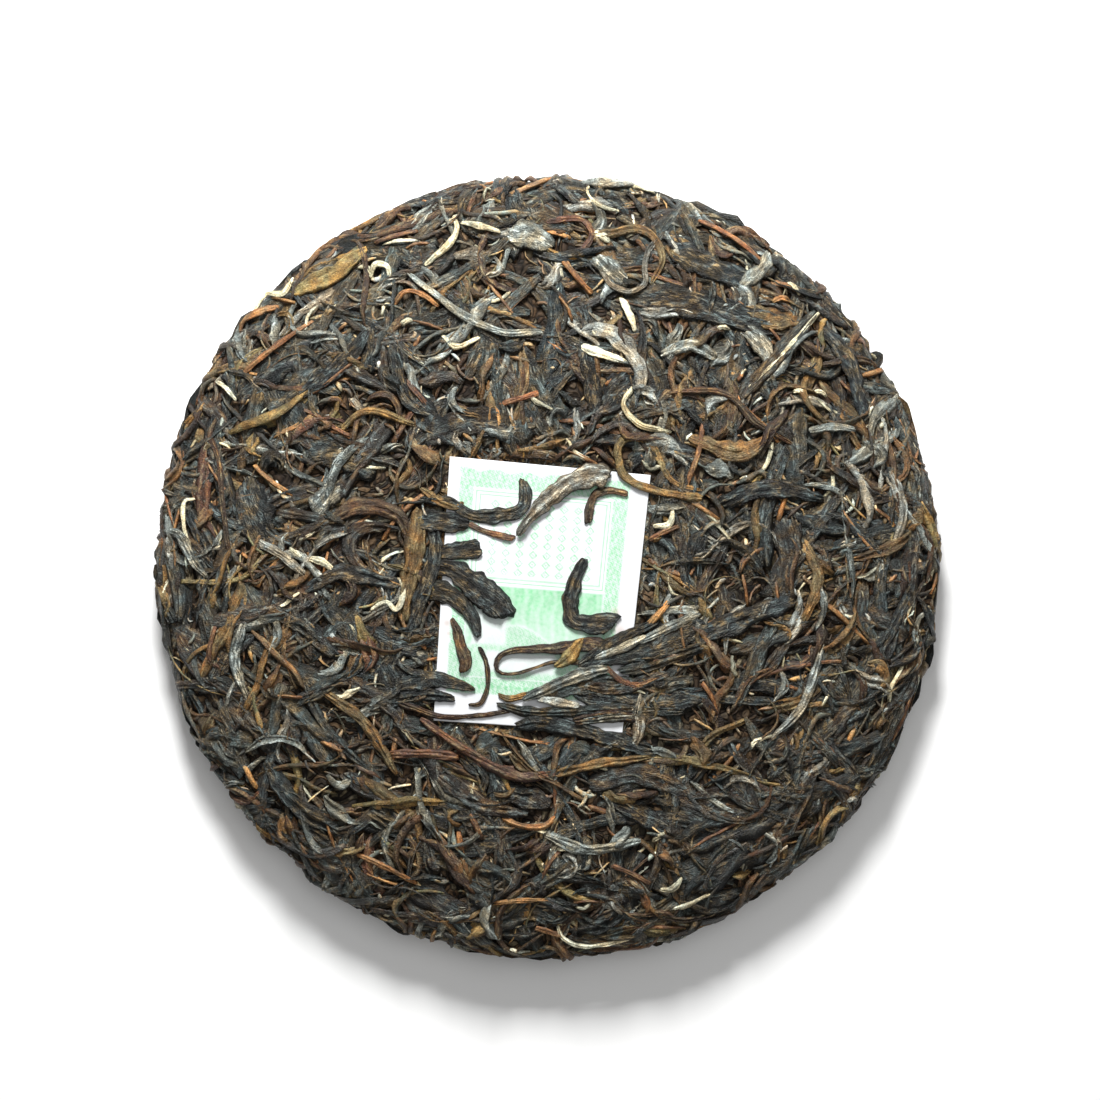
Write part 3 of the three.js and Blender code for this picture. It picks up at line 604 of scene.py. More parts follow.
def add_strewn(name, look, material, seed, counts, sections):
    """One piece of many leaves of a kind, with a count on the face and one on the back, each leaf of so
    many sections of so many points. The look gives ranges that each leaf is drawn from: length, width,
    thick and lift above the envelope, in millimetres; end, the width left at an end; folds and their
    depth; twist and waves along the leaf, in turns. It gives scales too: dip of the ends in millimetres;
    bend, sway, kink and tilt in radians; reach of the taper; and the shares that strips takes."""
    rng = np.random.default_rng(seed)
    stations, around = sections
    place, angle, heading = strewn(rng, *counts, look["disorder"], look["bundle"], look["uphill"])
    n = len(place)
    t = np.linspace(0, 1, stations)

    def draw(key, shape=(n, 1), power=1.0):
        low, high = look[key]
        return low + (high - low) * rng.uniform(0, 1, shape) ** power

    def scaled(key, shape=(n, 1)):
        return look[key] * rng.normal(0, 1, shape)

    bend, sway = scaled("bend"), scaled("sway")
    bend = bend + sway * np.cos(2 * np.pi * (draw("waves") * t + rng.uniform(0, 1, (n, 1))))
    length, width = draw("length", n, 1.6) * MM, draw("width", (n, 1), 1.5) * MM
    route = walk(place, angle, heading, length, bend / (stations - 1) + scaled("kink", (n, stations)))
    shape = taper(t, draw("end", n), draw("end", n), look["reach"])
    ripple = draw("waves") * 2 * t + rng.uniform(0, 1, (n, 1))
    half = width / 2 * shape * (1 + look["swell"] * np.sin(2 * np.pi * ripple))
    thick = draw("thick") * MM * (0.45 + 0.55 * shape)
    level = draw("lift") * MM
    dip = look["dip"] * MM * rng.uniform(0, 1, (n, 1)) * np.abs(2 * t - 1) ** 3
    lift = level - dip + 0.2 * MM * np.sin(5 * t + rng.uniform(0, 6, (n, 1)))
    tilt = scaled("tilt") * np.sin(np.pi * t)
    turn = rng.choice([-1, 1], (n, 1)) * draw("twist") * 2 * np.pi * t
    roll = tilt + turn + scaled("tilt") * np.sin(7 * t)
    lift, roll = under_paper(route[0], route[1], lift, thick, roll, half)
    drift = rng.uniform(0, 2, (n, 1)) + rng.uniform(-1, 1, (n, 1)) * t
    folds, depth = draw("folds", n), draw("depth", n)
    shares = {key: look[key] for key in ("ragged", "crumple", "flat", "torn")}
    made = strips(rng, route, half, thick, lift, roll, folds, depth, drift, around, **shares)
    add_strips(name, made, rng.uniform(0, 1, n), material, "cake")


broad = dict(
    length=(12, 32), width=(3.0, 8.5), thick=(0.45, 0.9), lift=(-1.6, -0.45), dip=0.5, end=(0.45, 0.95),
    reach=0.25, swell=0.15, folds=(1.6, 3.4), depth=(0.3, 0.8), twist=(0, 0), waves=(0.5, 1.2),
    disorder=1.0, bundle=1, uphill=0, bend=0.5, sway=0.6, kink=0.1, tilt=0.12,
    ragged=0.1, crumple=0.25, flat=4.0, torn=0.7,
)
add_strewn("broad_leaves", broad, dark_leaf, seed=23, counts=(520, 300), sections=(10, 10))


# The rolled leaves: young leaves rolled into tight strips by hand, the bulk of what shows. They lie in
# small bundles, side by side and over one another, and are charcoal where the others are brown.
rolled = dict(
    broad, length=(8, 29), width=(1.6, 5.0), thick=(0.6, 1.1), lift=(-1.7, -0.1), dip=1.0, end=(0.08, 0.45),
    reach=0.5, swell=0.2, folds=(1.4, 2.8), depth=(0.35, 0.8), twist=(0, 0.3),
    disorder=0.8, bundle=3, bend=1.1, sway=1.6, kink=0.12, tilt=0.3, flat=2.6, torn=0.5,
)
add_strewn("rolled_leaves", rolled, dark_leaf, seed=31, counts=(540, 180), sections=(12, 10))


# The brown leaves: the same rolled leaves where they had begun to ferment before they were dried, from
# olive brown to red brown.
brown_leaf = leaf_material(
    "dried tea leaf, fermented brown",
    ["#291b15", "#443020", "#584426", "#36241d", "#6d5632", "#4e3329", "#78653c", "#58372a"],
    worn="#aa9770", wear=0.5, roughness=0.45, relief=0.5 * MM, tint_share=0.6,
)
brown = dict(rolled, disorder=1.0, bundle=2)
add_strewn("brown_leaves", brown, brown_leaf, seed=41, counts=(530, 160), sections=(12, 10))


# The grey leaves: young leaves that were rolled with their silvery downy side out, which was then rubbed
# to grey. They lie singly, and a little higher in the mat than the dark ones.
grey_leaf = leaf_material(
    "dried tea leaf, downy grey",
    ["#464944", "#62645f", "#7f8078", "#53554f", "#96938a", "#5c5448"],
    worn="#d6d7cf", wear=0.85, roughness=0.55, relief=0.8 * MM, tint_share=0.45,
)
grey = dict(rolled, lift=(-1.3, -0.1), bundle=1, uphill=0.2)
add_strewn(
    "grey_leaves", grey, grey_leaf, seed=43, counts=(260, 60), sections=(12, 10)
)


# The twisted leaves: buds and first leaves rolled so tight that they are cords, with a spiral fold. The
# press could not flatten them, so they lie high in the mat, side by side in pairs.
mixed_leaf = leaf_material(
    "dried tea leaf, tightly rolled",
    ["#1e1c18", "#342b21", "#544127", "#292520", "#787261", "#462f1e", "#3a362d", "#8c774c"],
    worn="#a99d82", wear=0.5, roughness=0.45, relief=0.4 * MM, tint_share=1.0,
)
twisted = dict(
    rolled, length=(9, 30), width=(0.9, 2.2), thick=(0.4, 0.8), lift=(-1.1, 0.1), dip=1.2, end=(0.08, 0.4),
    twist=(0.2, 1.2), disorder=0.7, bundle=2, bend=1.6, sway=2.2, flat=2.0, torn=0.2,
)
add_strewn("twisted_leaves", twisted, mixed_leaf, seed=47, counts=(480, 60), sections=(14, 7))


# The stalks: young stems plucked with the leaves, round, woody and ribbed lengthwise, red brown to tan.
# They were too stiff to roll, so they are nearly straight, with blunt ends.
stalk_wood = leaf_material(
    "dried tea stalk",
    ["#3a251b", "#583924", "#7a5532", "#482d21", "#8f683d", "#643f2b"],
    worn="#b29162", wear=0.45, roughness=0.5, relief=0.25 * MM, tint_share=0.5,
)
stalk = dict(
    broad, length=(7, 22), width=(0.8, 1.7), thick=(0.4, 0.7), lift=(-0.9, 0.25), dip=0.8, end=(0.7, 1.0),
    swell=0.05, folds=(2.5, 3.5), depth=(0.05, 0.15), disorder=0.9, bend=0.3, sway=0.4, kink=0.06, tilt=0.1,
    ragged=0.05, flat=2.0, torn=0.6,
)
add_strewn("stalks", stalk, stalk_wood, seed=53, counts=(130, 30), sections=(8, 8))


# The threads: leaf stems and edges as thin as string, torn off in the rolling and curled into hooks and
# loops. They lie among the topmost leaves.
thread = dict(
    twisted, length=(10, 26), width=(0.5, 1.0), thick=(0.25, 0.4), lift=(-0.8, 0.2), end=(0.2, 0.8),
    twist=(0, 0.4), waves=(0.4, 1.4), disorder=1.0, bundle=1, bend=1.8, sway=2.4,
)
add_strewn("thin_threads", thread, mixed_leaf, seed=59, counts=(210, 20), sections=(16, 5))


# The silver buds: unopened leaf tips in their white down, cream where it is thick. They are short and
# slim, and lie singly near the top of the mat.
silver_bud = leaf_material(
    "tea bud, white down",
    ["#8e8a77", "#bbb59c", "#a39d85", "#cfcab4", "#968b6b"],
    worn="#e6e2d2", wear=0.6, roughness=0.65, relief=0.2 * MM, tint_share=0.3,
)
bud = dict(
    rolled, length=(4, 14), width=(0.7, 1.9), thick=(0.35, 0.6), lift=(-0.9, 0.2), end=(0.1, 0.6),
    bundle=1, uphill=0.15, bend=1.1, sway=1.2,
)
add_strewn("silver_buds", bud, silver_bud, seed=61, counts=(100, 20), sections=(12, 8))


# The chips: crumbs of leaf and stalk, a few millimetres long, that broke off in the rolling. They are
# pressed in between the leaves and fill the gaps down to the bed.
chip_mix = leaf_material(
    "tea chips, mixed",
    ["#241d18", "#523c2a", "#3b3833", "#6e4f35", "#35271f", "#a8906a", "#252220", "#d8cdb2", "#5a3f2d",
     "#b9b4a8"],
    worn="#b9a684", wear=0.4, roughness=0.55, relief=0.2 * MM, tint_share=0.8,
)
chip = dict(
    broad, length=(2.2, 8), width=(0.4, 1.5), thick=(0.15, 0.35), lift=(-1.4, -0.1), dip=0.2, end=(0.2, 0.8),
    disorder=2.0, bend=1.0, tilt=0.3,
)
add_strewn("chips", chip, chip_mix, seed=67, counts=(2000, 200), sections=(5, 6))


# The leaves that catch the eye: the largest, palest and most curled ones that lie on top, put where
# the real cake has them. A row is the width at the start, in the middle and at the end, the height
# of the middle of the leaf above the cake's envelope, the places that it runs through, in millimetres, and
# for some the tone in the palette.
PLACED_SEED = 71
PLACED_SECTIONS = (26, 15)
PLACED_RISE = 0.25 * MM
PLACED_DIP = 0.9 * MM
PLACED_DARK = [
    ((3.5, 4.0, 2.5), 0, [(-29, 11.5), (-28.5, 2), (-32, -8), (-35, -19)], 0.0),
    ((8.0, 11.0, 7.0), -0.4, [(-77.5, 20.5), (-75, 14.5), (-71, 6)], 0.0),
    ((7.0, 9.0, 6.0), -0.4, [(-61, 29.5), (-52.5, 29), (-43.5, 25)], 0.12),
    ((2.0, 4.5, 2.5), 0.1, [(-61.5, -6), (-51.5, -1.5), (-37.5, -4.5)]),
    ((4.0, 4.5, 3.0), 0.2, [(9.5, 55), (11, 47), (12, 38)], 0.0),
    ((5.0, 8.0, 4.0), 0, [(23.5, 68), (36, 67), (48.5, 63), (63, 61)], 0.43),
    ((4.0, 7.5, 4.0), -0.1, [(30.5, 81.5), (38.5, 77.5), (50.5, 72.5)], 0.71),
    ((3.0, 4.5, 2.0), 0.3, [(48.5, 43), (58, 53), (68, 65)]),
    ((3.0, 5.0, 3.0), 0.2, [(70, 61), (76, 52), (80.5, 38)], 0.71),
    ((3.0, 4.0, 1.5), 0, [(-39.5, 56), (-35.5, 43), (-28, 38)]),
    ((5.0, 7.0, 4.0), -0.3, [(-30.5, 33), (-20.5, 36.5), (-7.5, 35.5)]),
    ((3.0, 5.5, 3.0), 0, [(36, -18.5), (47.5, -13.5), (62, -8)]),
    ((3.0, 5.0, 2.5), 0, [(44, 16), (55.5, 20), (69.5, 17.5)], 0.0),
    ((2.5, 4.5, 2.0), 0.1, [(-64, 43), (-52.5, 50.5), (-44.5, 61)]),
    ((3.0, 4.0, 2.0), 0.1, [(-28, -52), (-17.5, -59.5), (-5, -62)]),
    ((4.0, 6.0, 3.0), -0.2, [(10.5, -54.5), (23.5, -52), (36, -57)]),
    ((3.0, 5.0, 3.0), 0, [(-71.5, -49), (-64, -59.5), (-52.5, -67)], 0.14),
]
PLACED_BROWN = [
    ((2.6, 5.0, 2.0), 0.5, [(-65, 69.5), (-58, 72.5), (-52.5, 75.5), (-46, 81)], 0.86),
    ((3.0, 5.5, 2.5), 0.1, [(-32, 14.5), (-34, 1.5), (-36, -13.5)], 0.29),
    ((2.5, 4.5, 2.0), 0.1, [(-55, 12), (-47, 15.5), (-38, 13.5), (-35, 8)], 0.14),
    ((1.5, 2.0, 1.5), 0.3, [(-52, 35), (-45, 39.5), (-33.5, 36)]),
    ((1.6, 1.8, 1.4), 0.5, [(-1, 87.5), (8, 88), (11, 84.5), (9.5, 81), (6, 79)]),
    ((1.2, 1.8, 1.4), 0.4, [(28, 44), (44, 44), (52.5, 36.5), (62, 31)]),
    ((1.0, 1.6, 1.2), 0.5, [(-84, 38), (-85.5, 33.5), (-83, 27), (-82, 16), (-80.5, 4)]),
    ((1.6, 2.7, 2.0), 0.3, [(-32, -38), (-15.5, -49), (-6, -52.5), (2, -52)], 0.71),
    ((2.0, 2.5, 1.2), 0.3, [(2, -52), (11.5, -49.5), (26, -47.5)]),
    ((1.2, 2.6, 4.4), 0, [(-48, -12), (-46.8, -15.5), (-45.6, -18.8)], 0.86),
    ((3.0, 5.5, 3.0), 0, [(49, 65), (58, 62.5), (64.5, 63)]),
    ((2.0, 2.5, 1.0), 0.4, [(10, 83), (23.5, 85.5), (29, 78.5), (26, 71.5)]),
    ((2.5, 5.0, 2.5), 0, [(36, 33), (47.5, 29), (56.5, 33)]),
    ((2.0, 3.0, 1.5), 0.2, [(-56, -31.5), (-46, -39), (-38, -52)]),
    ((2.0, 3.5, 2.0), 0.1, [(64.5, 7), (68, -3), (64.5, -13.5)]),
]
PLACED_GREY = [
    ((3.2, 4.4, 2.0), 0.7, [(8.5, 59.5), (15, 59.5), (20.5, 54.5), (23.5, 49), (23, 43.5)], 0.8),
    ((1.2, 2.2, 1.6), 0.6, [(-35.5, 74.5), (-28, 68.5), (-20.5, 63), (-11, 59), (-1.5, 59.5)]),
    ((4.5, 7.5, 3.0), 0.1, [(-10, 84.5), (-4.5, 84), (1, 81)], 0.55),
    ((4.0, 5.5, 2.5), 0.1, [(12.5, 78.5), (16, 75), (20, 71.5)], 0.6),
    ((5.6, 5.8, 5.2), 0, [(-59, 14.5), (-56, 17.5), (-52.5, 20.5)], 0.2),
    ((2.0, 2.6, 1.6), 0.4, [(-73, 6.5), (-66.5, 3), (-61, -2)]),
    ((1.0, 1.6, 1.4), 0.6, [(13, 77), (15.5, 71.5), (20.5, 69.5), (24.5, 71.5),
        (24.5, 75.5), (25.5, 80), (29, 84.5)]),
    ((3.5, 5.0, 3.0), 0.1, [(49.5, 61), (54, 56), (56.5, 51)]),
    ((3.0, 4.0, 2.0), 0.2, [(49, 71.5), (54.5, 76), (56.5, 80.5)]),
    ((1.8, 2.8, 1.0), 0.5, [(-97.5, 9.5), (-93, 8), (-89.5, 1.5), (-86, -2.5)]),
    ((1.6, 2.2, 1.2), 0.3, [(66, 34.5), (72, 35.5), (78, 35)]),
    ((2.0, 3.5, 2.0), 0.2, [(28.5, 53.5), (36, 56), (42.5, 53)]),
    ((2.2, 3.2, 1.6), 0.3, [(86, 25), (90, 15), (88, 6)]),
    ((2.0, 3.0, 1.5), 0.2, [(-1, -67), (10.5, -71), (23.5, -69)]),
    ((2.0, 3.0, 1.5), 0.2, [(-76.5, -13.5), (-79, -23.5), (-75.5, -34)]),
    ((1.6, 2.4, 1.2), 0.3, [(69.5, -18.5), (64.5, -34), (56.5, -43)]),
]
PLACED_SILVER = [
    ((2.0, 2.4, 0.6), 0.6, [(8.5, 55.5), (14, 53.5), (20.5, 51.5)]),
    ((1.4, 2.0, 1.0), 0.6, [(18.5, 68), (21, 62.5), (22, 59.5)]),
    ((1.0, 1.6, 1.0), 0.5, [(22, 46), (19, 41), (23, 36), (31, 34)]),
    ((1.2, 1.8, 1.2), 0.4, [(-31, 76.5), (-25, 81.5), (-23, 85.5), (-23.5, 88.5)]),
    ((1.0, 1.8, 1.0), 0.5, [(-22, 87.5), (-16, 86), (-12, 85)]),
    ((1.0, 1.4, 0.8), 0.4, [(-26.5, 58.5), (-23, 55.5), (-17, 58)]),
    ((1.2, 1.8, 1.0), 0.4, [(-76.5, 66), (-71.5, 69.5), (-67, 69.5), (-65, 74)]),
    ((1.0, 1.5, 0.8), 0.5, [(50, 45), (59, 53.5), (66, 61.5), (69.5, 65.5)]),
    ((0.8, 1.2, 0.8), 0.5, [(-89.5, 17.5), (-92, 16.5), (-92, 10.5), (-90.5, 5)]),
    ((1.0, 2.0, 0.8), 0.4, [(-60.5, 2.5), (-56.5, 1.5), (-53.5, -1)]),
    ((0.8, 1.4, 1.2), 0.5, [(-44.5, -10.5), (-40.5, -8.5), (-38, -10.5), (-36, -6), (-37, -2.5)]),
    ((1.0, 1.6, 0.8), 0.4, [(26.5, 10.5), (30.5, 11), (31.5, 15.5)]),
    ((1.0, 1.8, 0.8), 0.4, [(28.5, -81.5), (31.5, -81), (34, -78.5)]),
    ((1.0, 1.5, 0.8), 0.3, [(2.5, -71), (6, -70.5), (9.5, -71.5)]),
    ((0.8, 1.4, 0.8), 0.3, [(2.5, -91), (4, -94), (9.5, -96), (21.5, -94.5)]),
    ((0.8, 1.2, 0.6), 0.5, [(61, 72.5), (62.5, 71), (64, 69)]),
    ((0.8, 1.2, 0.8), 0.4, [(-84.5, 47.5), (-81.5, 45.5), (-79, 42.5)]),
    ((0.8, 1.2, 0.8), 0.4, [(-65, 5), (-63, 3.5), (-61, 2)]),
    ((1.0, 1.8, 0.8), 0.5, [(-45, 73.5), (-43.5, 76.5), (-40.5, 76), (-40, 73)]),
    ((1.0, 1.6, 0.8), 0.5, [(-37, 61), (-35.5, 62), (-34, 62.5)]),
    ((1.5, 2.4, 1.2), 0.3, [(11.5, 84.5), (13.5, 83.8), (15.8, 82.6)]),
    ((0.9, 1.3, 0.7), 0.4, [(62, 44.5), (63.5, 44.6), (65, 43.8)]),
    ((0.9, 1.2, 0.6), 0.4, [(67.5, 44.6), (69, 44.3), (70.5, 43.2)]),
    ((1.2, 1.7, 0.8), 0.4, [(42, 60.2), (44, 60.8), (46, 60.2)]),
]
PLACED_STALK = [
    ((2.0, 2.6, 1.4), 0.4, [(-79, 60), (-76, 63.5), (-68.5, 66.5)]),
    ((1.2, 1.5, 1.2), 0.5, [(-77.5, 49), (-68.5, 56), (-59.5, 62.5)]),
    ((1.2, 1.4, 1.2), 0.4, [(-44, 82.5), (-38.5, 84), (-33, 85.5)]),
    ((1.8, 1.5, 1.4), 0.6, [(4, 77.5), (7, 73.5), (11, 69)]),
    ((1.2, 1.4, 1.2), 0.4, [(-39, 66), (-36, 69.5), (-32, 69), (-27.5, 66)]),
    ((1.2, 1.5, 1.2), 0.4, [(-36, 47.5), (-33, 44), (-29.5, 40)]),
    ((1.2, 1.6, 1.4), 0.4, [(-12, 41), (-7, 42.5), (-2, 44)]),
    ((1.0, 1.6, 0.8), 0.5, [(38.5, 88.5), (47, 83.5), (54.5, 78)]),
    ((1.4, 1.8, 1.4), 0.3, [(24.5, -15), (27.5, -12), (30.5, -8.5)]),
    ((2.2, 2.6, 2.0), 0.4, [(-39.5, -47), (-30.5, -46.5), (-22.5, -47.5)], 0.6),
    ((1.2, 1.6, 1.2), 0.3, [(-11.5, -63), (-6, -65), (-1, -65), (2, -62.5)], 0.4),
    ((1.2, 1.6, 1.0), 0.3, [(-48.5, -72.5), (-41, -75.5), (-33, -80)]),
    ((1.2, 1.4, 1.0), 0.3, [(-14, -85), (-7, -84), (0.5, -84)]),
    ((1.0, 1.4, 1.0), 0.4, [(-84, -14.5), (-85.5, -22.5), (-83, -25.5)]),
    ((1.2, 1.4, 1.2), 0.4, [(16, -75), (21, -77), (26, -80)]),
    ((1.2, 1.5, 1.2), 0.4, [(25.5, 7), (29, 9), (33, 10.5)]),
    ((1.2, 1.6, 1.0), 0.5, [(57, 67.4), (59, 68.2), (61.5, 67.6)]),
]


def smooth_line(points, stations):
    """A Catmull-Rom curve through points of the face, at even steps along its length."""
    p = np.array(points, float)
    p = np.concatenate([[2 * p[0] - p[1]], p, [2 * p[-1] - p[-2]]])
    u = np.linspace(0, len(points) - 1, 24 * (len(points) - 1) + 1)
    i = np.minimum(u.astype(int), len(points) - 2)
    f = (u - i)[:, None]
    a, b, c, d = p[i], p[i + 1], p[i + 2], p[i + 3]
    curve = 0.5 * (2 * b + (c - a) * f + (2 * a - 5 * b + 4 * c - d) * f**2 + (3 * b - a - 3 * c + d) * f**3)
    run = np.concatenate([[0], np.cumsum(np.hypot(*np.diff(curve, axis=0).T))])
    s = np.linspace(0, run[-1], stations)
    return np.stack([np.interp(s, run, curve[:, 0]), np.interp(s, run, curve[:, 1])], 1)


def on_face(lines):
    """Lines over the face's envelope, from places of the face seen from above: points, normals, sides and
    directions."""
    radius = np.minimum(np.hypot(lines[..., 0], lines[..., 1]), CAKE_RADIUS * 0.995)
    turn = np.arctan2(lines[..., 1], lines[..., 0])
    face, face_normal = OUTLINE[: RIM_PLACE + 1], NORMAL[: RIM_PLACE + 1]
    z, nr, nz = (
        np.interp(radius, face[:, 0], column) for column in (face[:, 1], face_normal[:, 0], face_normal[:, 1])
    )
    points = np.stack([radius * np.cos(turn), radius * np.sin(turn), z], -1)
    normals = np.stack([nr * np.cos(turn), nr * np.sin(turn), nz], -1)
    directions = np.gradient(points, axis=1)
    directions /= np.linalg.norm(directions, axis=-1)[..., None]
    sides = np.cross(normals, directions)
    sides /= np.linalg.norm(sides, axis=-1)[..., None]
    return points, normals, sides, directions


def add_placed(name, seed, rows, material, node, sections=PLACED_SECTIONS, ground=None):
    """One piece of strips along listed places. The width is the parabola through the three given,
    rounded off at both ends, and both ends dip. With a ground, which is a height above the envelope, the
    level is that of the leaf's underside above the ground, and no end dips. A row without a tone gets one
    at random."""
    rng = np.random.default_rng(seed)
    stations, around = sections
    lines = np.stack([smooth_line(row[2], stations) for row in rows]) * MM
    t = np.linspace(0, 1, stations)
    w = np.array([row[0] for row in rows])[:, :, None] * MM
    width = w[:, 0] * (1 - t) * (1 - 2 * t) + 4 * w[:, 1] * t * (1 - t) + w[:, 2] * t * (2 * t - 1)
    n = len(rows)
    blunt = np.full(n, 0.7)
    swell = 1 + 0.09 * np.sin(2 * np.pi * (rng.uniform(1, 2.5, (n, 1)) * t + rng.uniform(0, 1, (n, 1))))
    half = np.maximum(width, 0.5 * MM) / 2 * swell * taper(t, blunt, blunt, 0.05)
    thick = np.clip(half * 0.5, 0.3 * MM, 0.55 * MM)
    level = np.array([row[1] for row in rows])[:, None] * MM
    if ground:
        lift = level + ground(lines[..., 0], lines[..., 1]) + 0.6 * thick
        shares = dict(ragged=0.12, crumple=0.2, torn=1.0)
    else:
        lift = level + PLACED_RISE - PLACED_DIP * np.abs(2 * t - 1) ** 3
        shares = dict(ragged=0.12, crumple=0.35, torn=0.7)
    roll = 0.15 * np.sin(2 * np.pi * (rng.uniform(0.5, 1.2, (n, 1)) * t + rng.uniform(0, 1, (n, 1))))
    folds, depth = rng.uniform(1.6, 3.2, n), rng.uniform(0.2, 0.55, n)
    drift = rng.uniform(0, 2, (n, 1)) + rng.uniform(-0.6, 0.6, (n, 1)) * t
    flat = 2 + 3.5 * ease(w[:, 1, :, None], 2 * MM, 5 * MM)
    route = on_face(lines)
    made = strips(rng, route, half, thick, lift, roll, folds, depth, drift, around, flat=flat, **shares)
    tones = [row[3] if row[3:] else rng.uniform(0, 1) for row in rows]
    add_strips(name, made, np.array(tones), material, node)


for name, rows, material, slot_name in (
    ("placed_dark_leaves", PLACED_DARK, dark_leaf, "tea_leaf"),
    ("placed_brown_leaves", PLACED_BROWN, brown_leaf, "tea_leaf"),
    ("placed_grey_leaves", PLACED_GREY, grey_leaf, "grey_leaf"),
    ("placed_silver_buds", PLACED_SILVER, silver_bud, "grey_leaf"),
    ("placed_stalks", PLACED_STALK, stalk_wood, "stalk"),
):
    add_placed(name, PLACED_SEED + len(rows), rows, material, "cake")


# The ticket: a thin sheet of white paper, printed in one green, that is laid on the leaves before they
# are pressed. It follows the face and waves where leaves lie under it. The print is a mottled frame, a
# panel with a thin double line and rows of small diamonds, and a washed field with pale shapes.
TICKET_THICKNESS = 0.25 * MM
TICKET_SINK = 0.75 * MM
TICKET_WAVE = 0.18 * MM
TICKET_DENT = 0.05 * MM
TICKET_SIZE = (49 * MM, 66 * MM)
TICKET_GRID = 0.27 * MM
# Boxes of the print, in millimetres from the paper's top left corner: left, right, top and bottom.
FRAME_HOLE = (6.4, 40.6, 7.0, 54.5)
PANEL = (7.0, 40.2, 7.6, 30.4)
PANEL_LINES = (0.0, 0.9)
LINE_WIDTH = 0.3
MARKS = (9.4, 37.6, 9.6, 28.4)
MARK_WIDTH = 3.4
MARK_HEIGHT = 2.4
FIELD = (6.6, 40.4, 31.2, 54.3)
PALE_HOUSE = (8.5, 17, 35, 46)
PALE_BANK = (12, 30, 47.5, 52.5)
DOT_BAND = (8, 39, 55.4, 57.8)
DOT_SPACING = 1.7
STAINS = ((1.9, 41.5, 0.9), (2.4, 44.0, 0.6), (45.5, 40.0, 1.6), (44.0, 35.5, 1.2))
PAPER_CLOUD = 0.9 * MM
PAPER_RELIEF = 0.05 * MM


def face_height(x, y):
    """Height of the face's envelope over a point."""
    share = np.minimum(1, np.hypot(x, y) / CAKE_RADIUS)
    return RIM_HEIGHT + (CAKE_THICKNESS - RIM_HEIGHT) * (1 - share**FACE_FLATNESS) ** (1 / FACE_SHOULDER)


def paper_level(x, y):
    """Height of the paper's upper face above the envelope: sunk, with two crossing waves, and finer ones
    where single leaves press through."""
    wave = np.sin(x * 170 + 1.1) * np.sin(y * 130 - 0.5) + 0.6 * np.sin(x * 310 + y * 230)
    fine = np.sin(x * 900 + 1.5 * np.sin(y * 420)) * np.sin(y * 760 - x * 350)
    return -TICKET_SINK + TICKET_WAVE * wave + TICKET_DENT * fine


def box_share(u, v, box, soft, inset=0.0):
    """1 inside a box in millimetres that is drawn in by inset, 0 outside, soft at its sides."""
    left, right, top, bottom = box
    inside = np.minimum(np.minimum(u - left, right - u), np.minimum(v - top, bottom - v)) - inset
    return ease(inside, -soft / 2, soft / 2)


def print_ink(u, v):
    """The share of ink at a place in millimetres from the paper's top left corner: the frame with its
    scalloped rim, the panel's lines and marks, the washed field over a hill, and a band of dots, each
    mottled by crossed waves of one or two millimetres, as worn type prints."""
    speck = 0.5 + 0.25 * np.sin(u * 5.3 + np.sin(v * 3.1) * 1.7) * np.sin(v * 4.9 - np.sin(u * 2.7))
    speck = speck + 0.25 * np.sin(u * 9.1 - v * 3.3) * np.sin(v * 8.7 + u * 2.9)
    scallop = 1.0 * np.abs(np.sin(u * 0.42)) + 0.5 * np.abs(np.sin(v * 0.55))
    frame_share = box_share(u, v, (3.4 - scallop * 0.5, 44.4, 3.6 - scallop, 58.5), 0.8)
    frame_share = frame_share * (1 - box_share(u, v, FRAME_HOLE, 0.3))
    ink = frame_share * (0.35 + 0.65 * ease(speck, 0.35, 0.7))
    for inset in PANEL_LINES:
        line = box_share(u, v, PANEL, 0.15, inset) - box_share(u, v, PANEL, 0.15, inset + LINE_WIDTH)
        ink = np.maximum(ink, 0.9 * line)
    diamond = np.abs((u / MARK_WIDTH) % 1 - 0.5) * MARK_WIDTH
    diamond = diamond + np.abs((v / MARK_HEIGHT) % 1 - 0.5) * MARK_HEIGHT
    rings = np.maximum(1 - ease(diamond, 0.15, 0.45), 1 - ease(np.abs(diamond - 0.9), 0.12, 0.4))
    marks = box_share(u, v, MARKS, 0.1) * rings
    ink = np.maximum(ink, 0.9 * marks * (0.6 + 0.4 * ease(speck, 0.3, 0.6)))
    wash = 0.85 - 0.3 * ease(v, 32, 44) + 0.14 * np.sin(u * 2.6 + np.sin(v * 0.7)) * np.sin(u * 0.9 + 1)
    hill = ease(v - 44 - 3.2 * np.sin(u * 0.21 + 0.6), -0.8, 0.8)
    pale = box_share(u, v, PALE_HOUSE, 1.2) * 0.7 + box_share(u, v, PALE_BANK, 1.5) * 0.8
    wash = np.maximum(wash * (1 - hill), hill * (0.4 + 0.5 * ease(speck, 0.3, 0.8))) * (1 - pale)
    ink = np.maximum(ink, box_share(u, v, FIELD, 0.6) * wash)
    dots = np.hypot((u / DOT_SPACING) % 1 - 0.5, (v - 56.6) / DOT_SPACING)
    return np.maximum(ink, 0.95 * box_share(u, v, DOT_BAND, 0.2) * (1 - ease(dots, 0.25, 0.4)))


def stain_share(u, v):
    """The share of brown where damp leaves marked the paper, in round spots that fade outwards."""
    return sum(np.exp(-((u - x) ** 2 + (v - y) ** 2) / size**2) for x, y, size in STAINS)


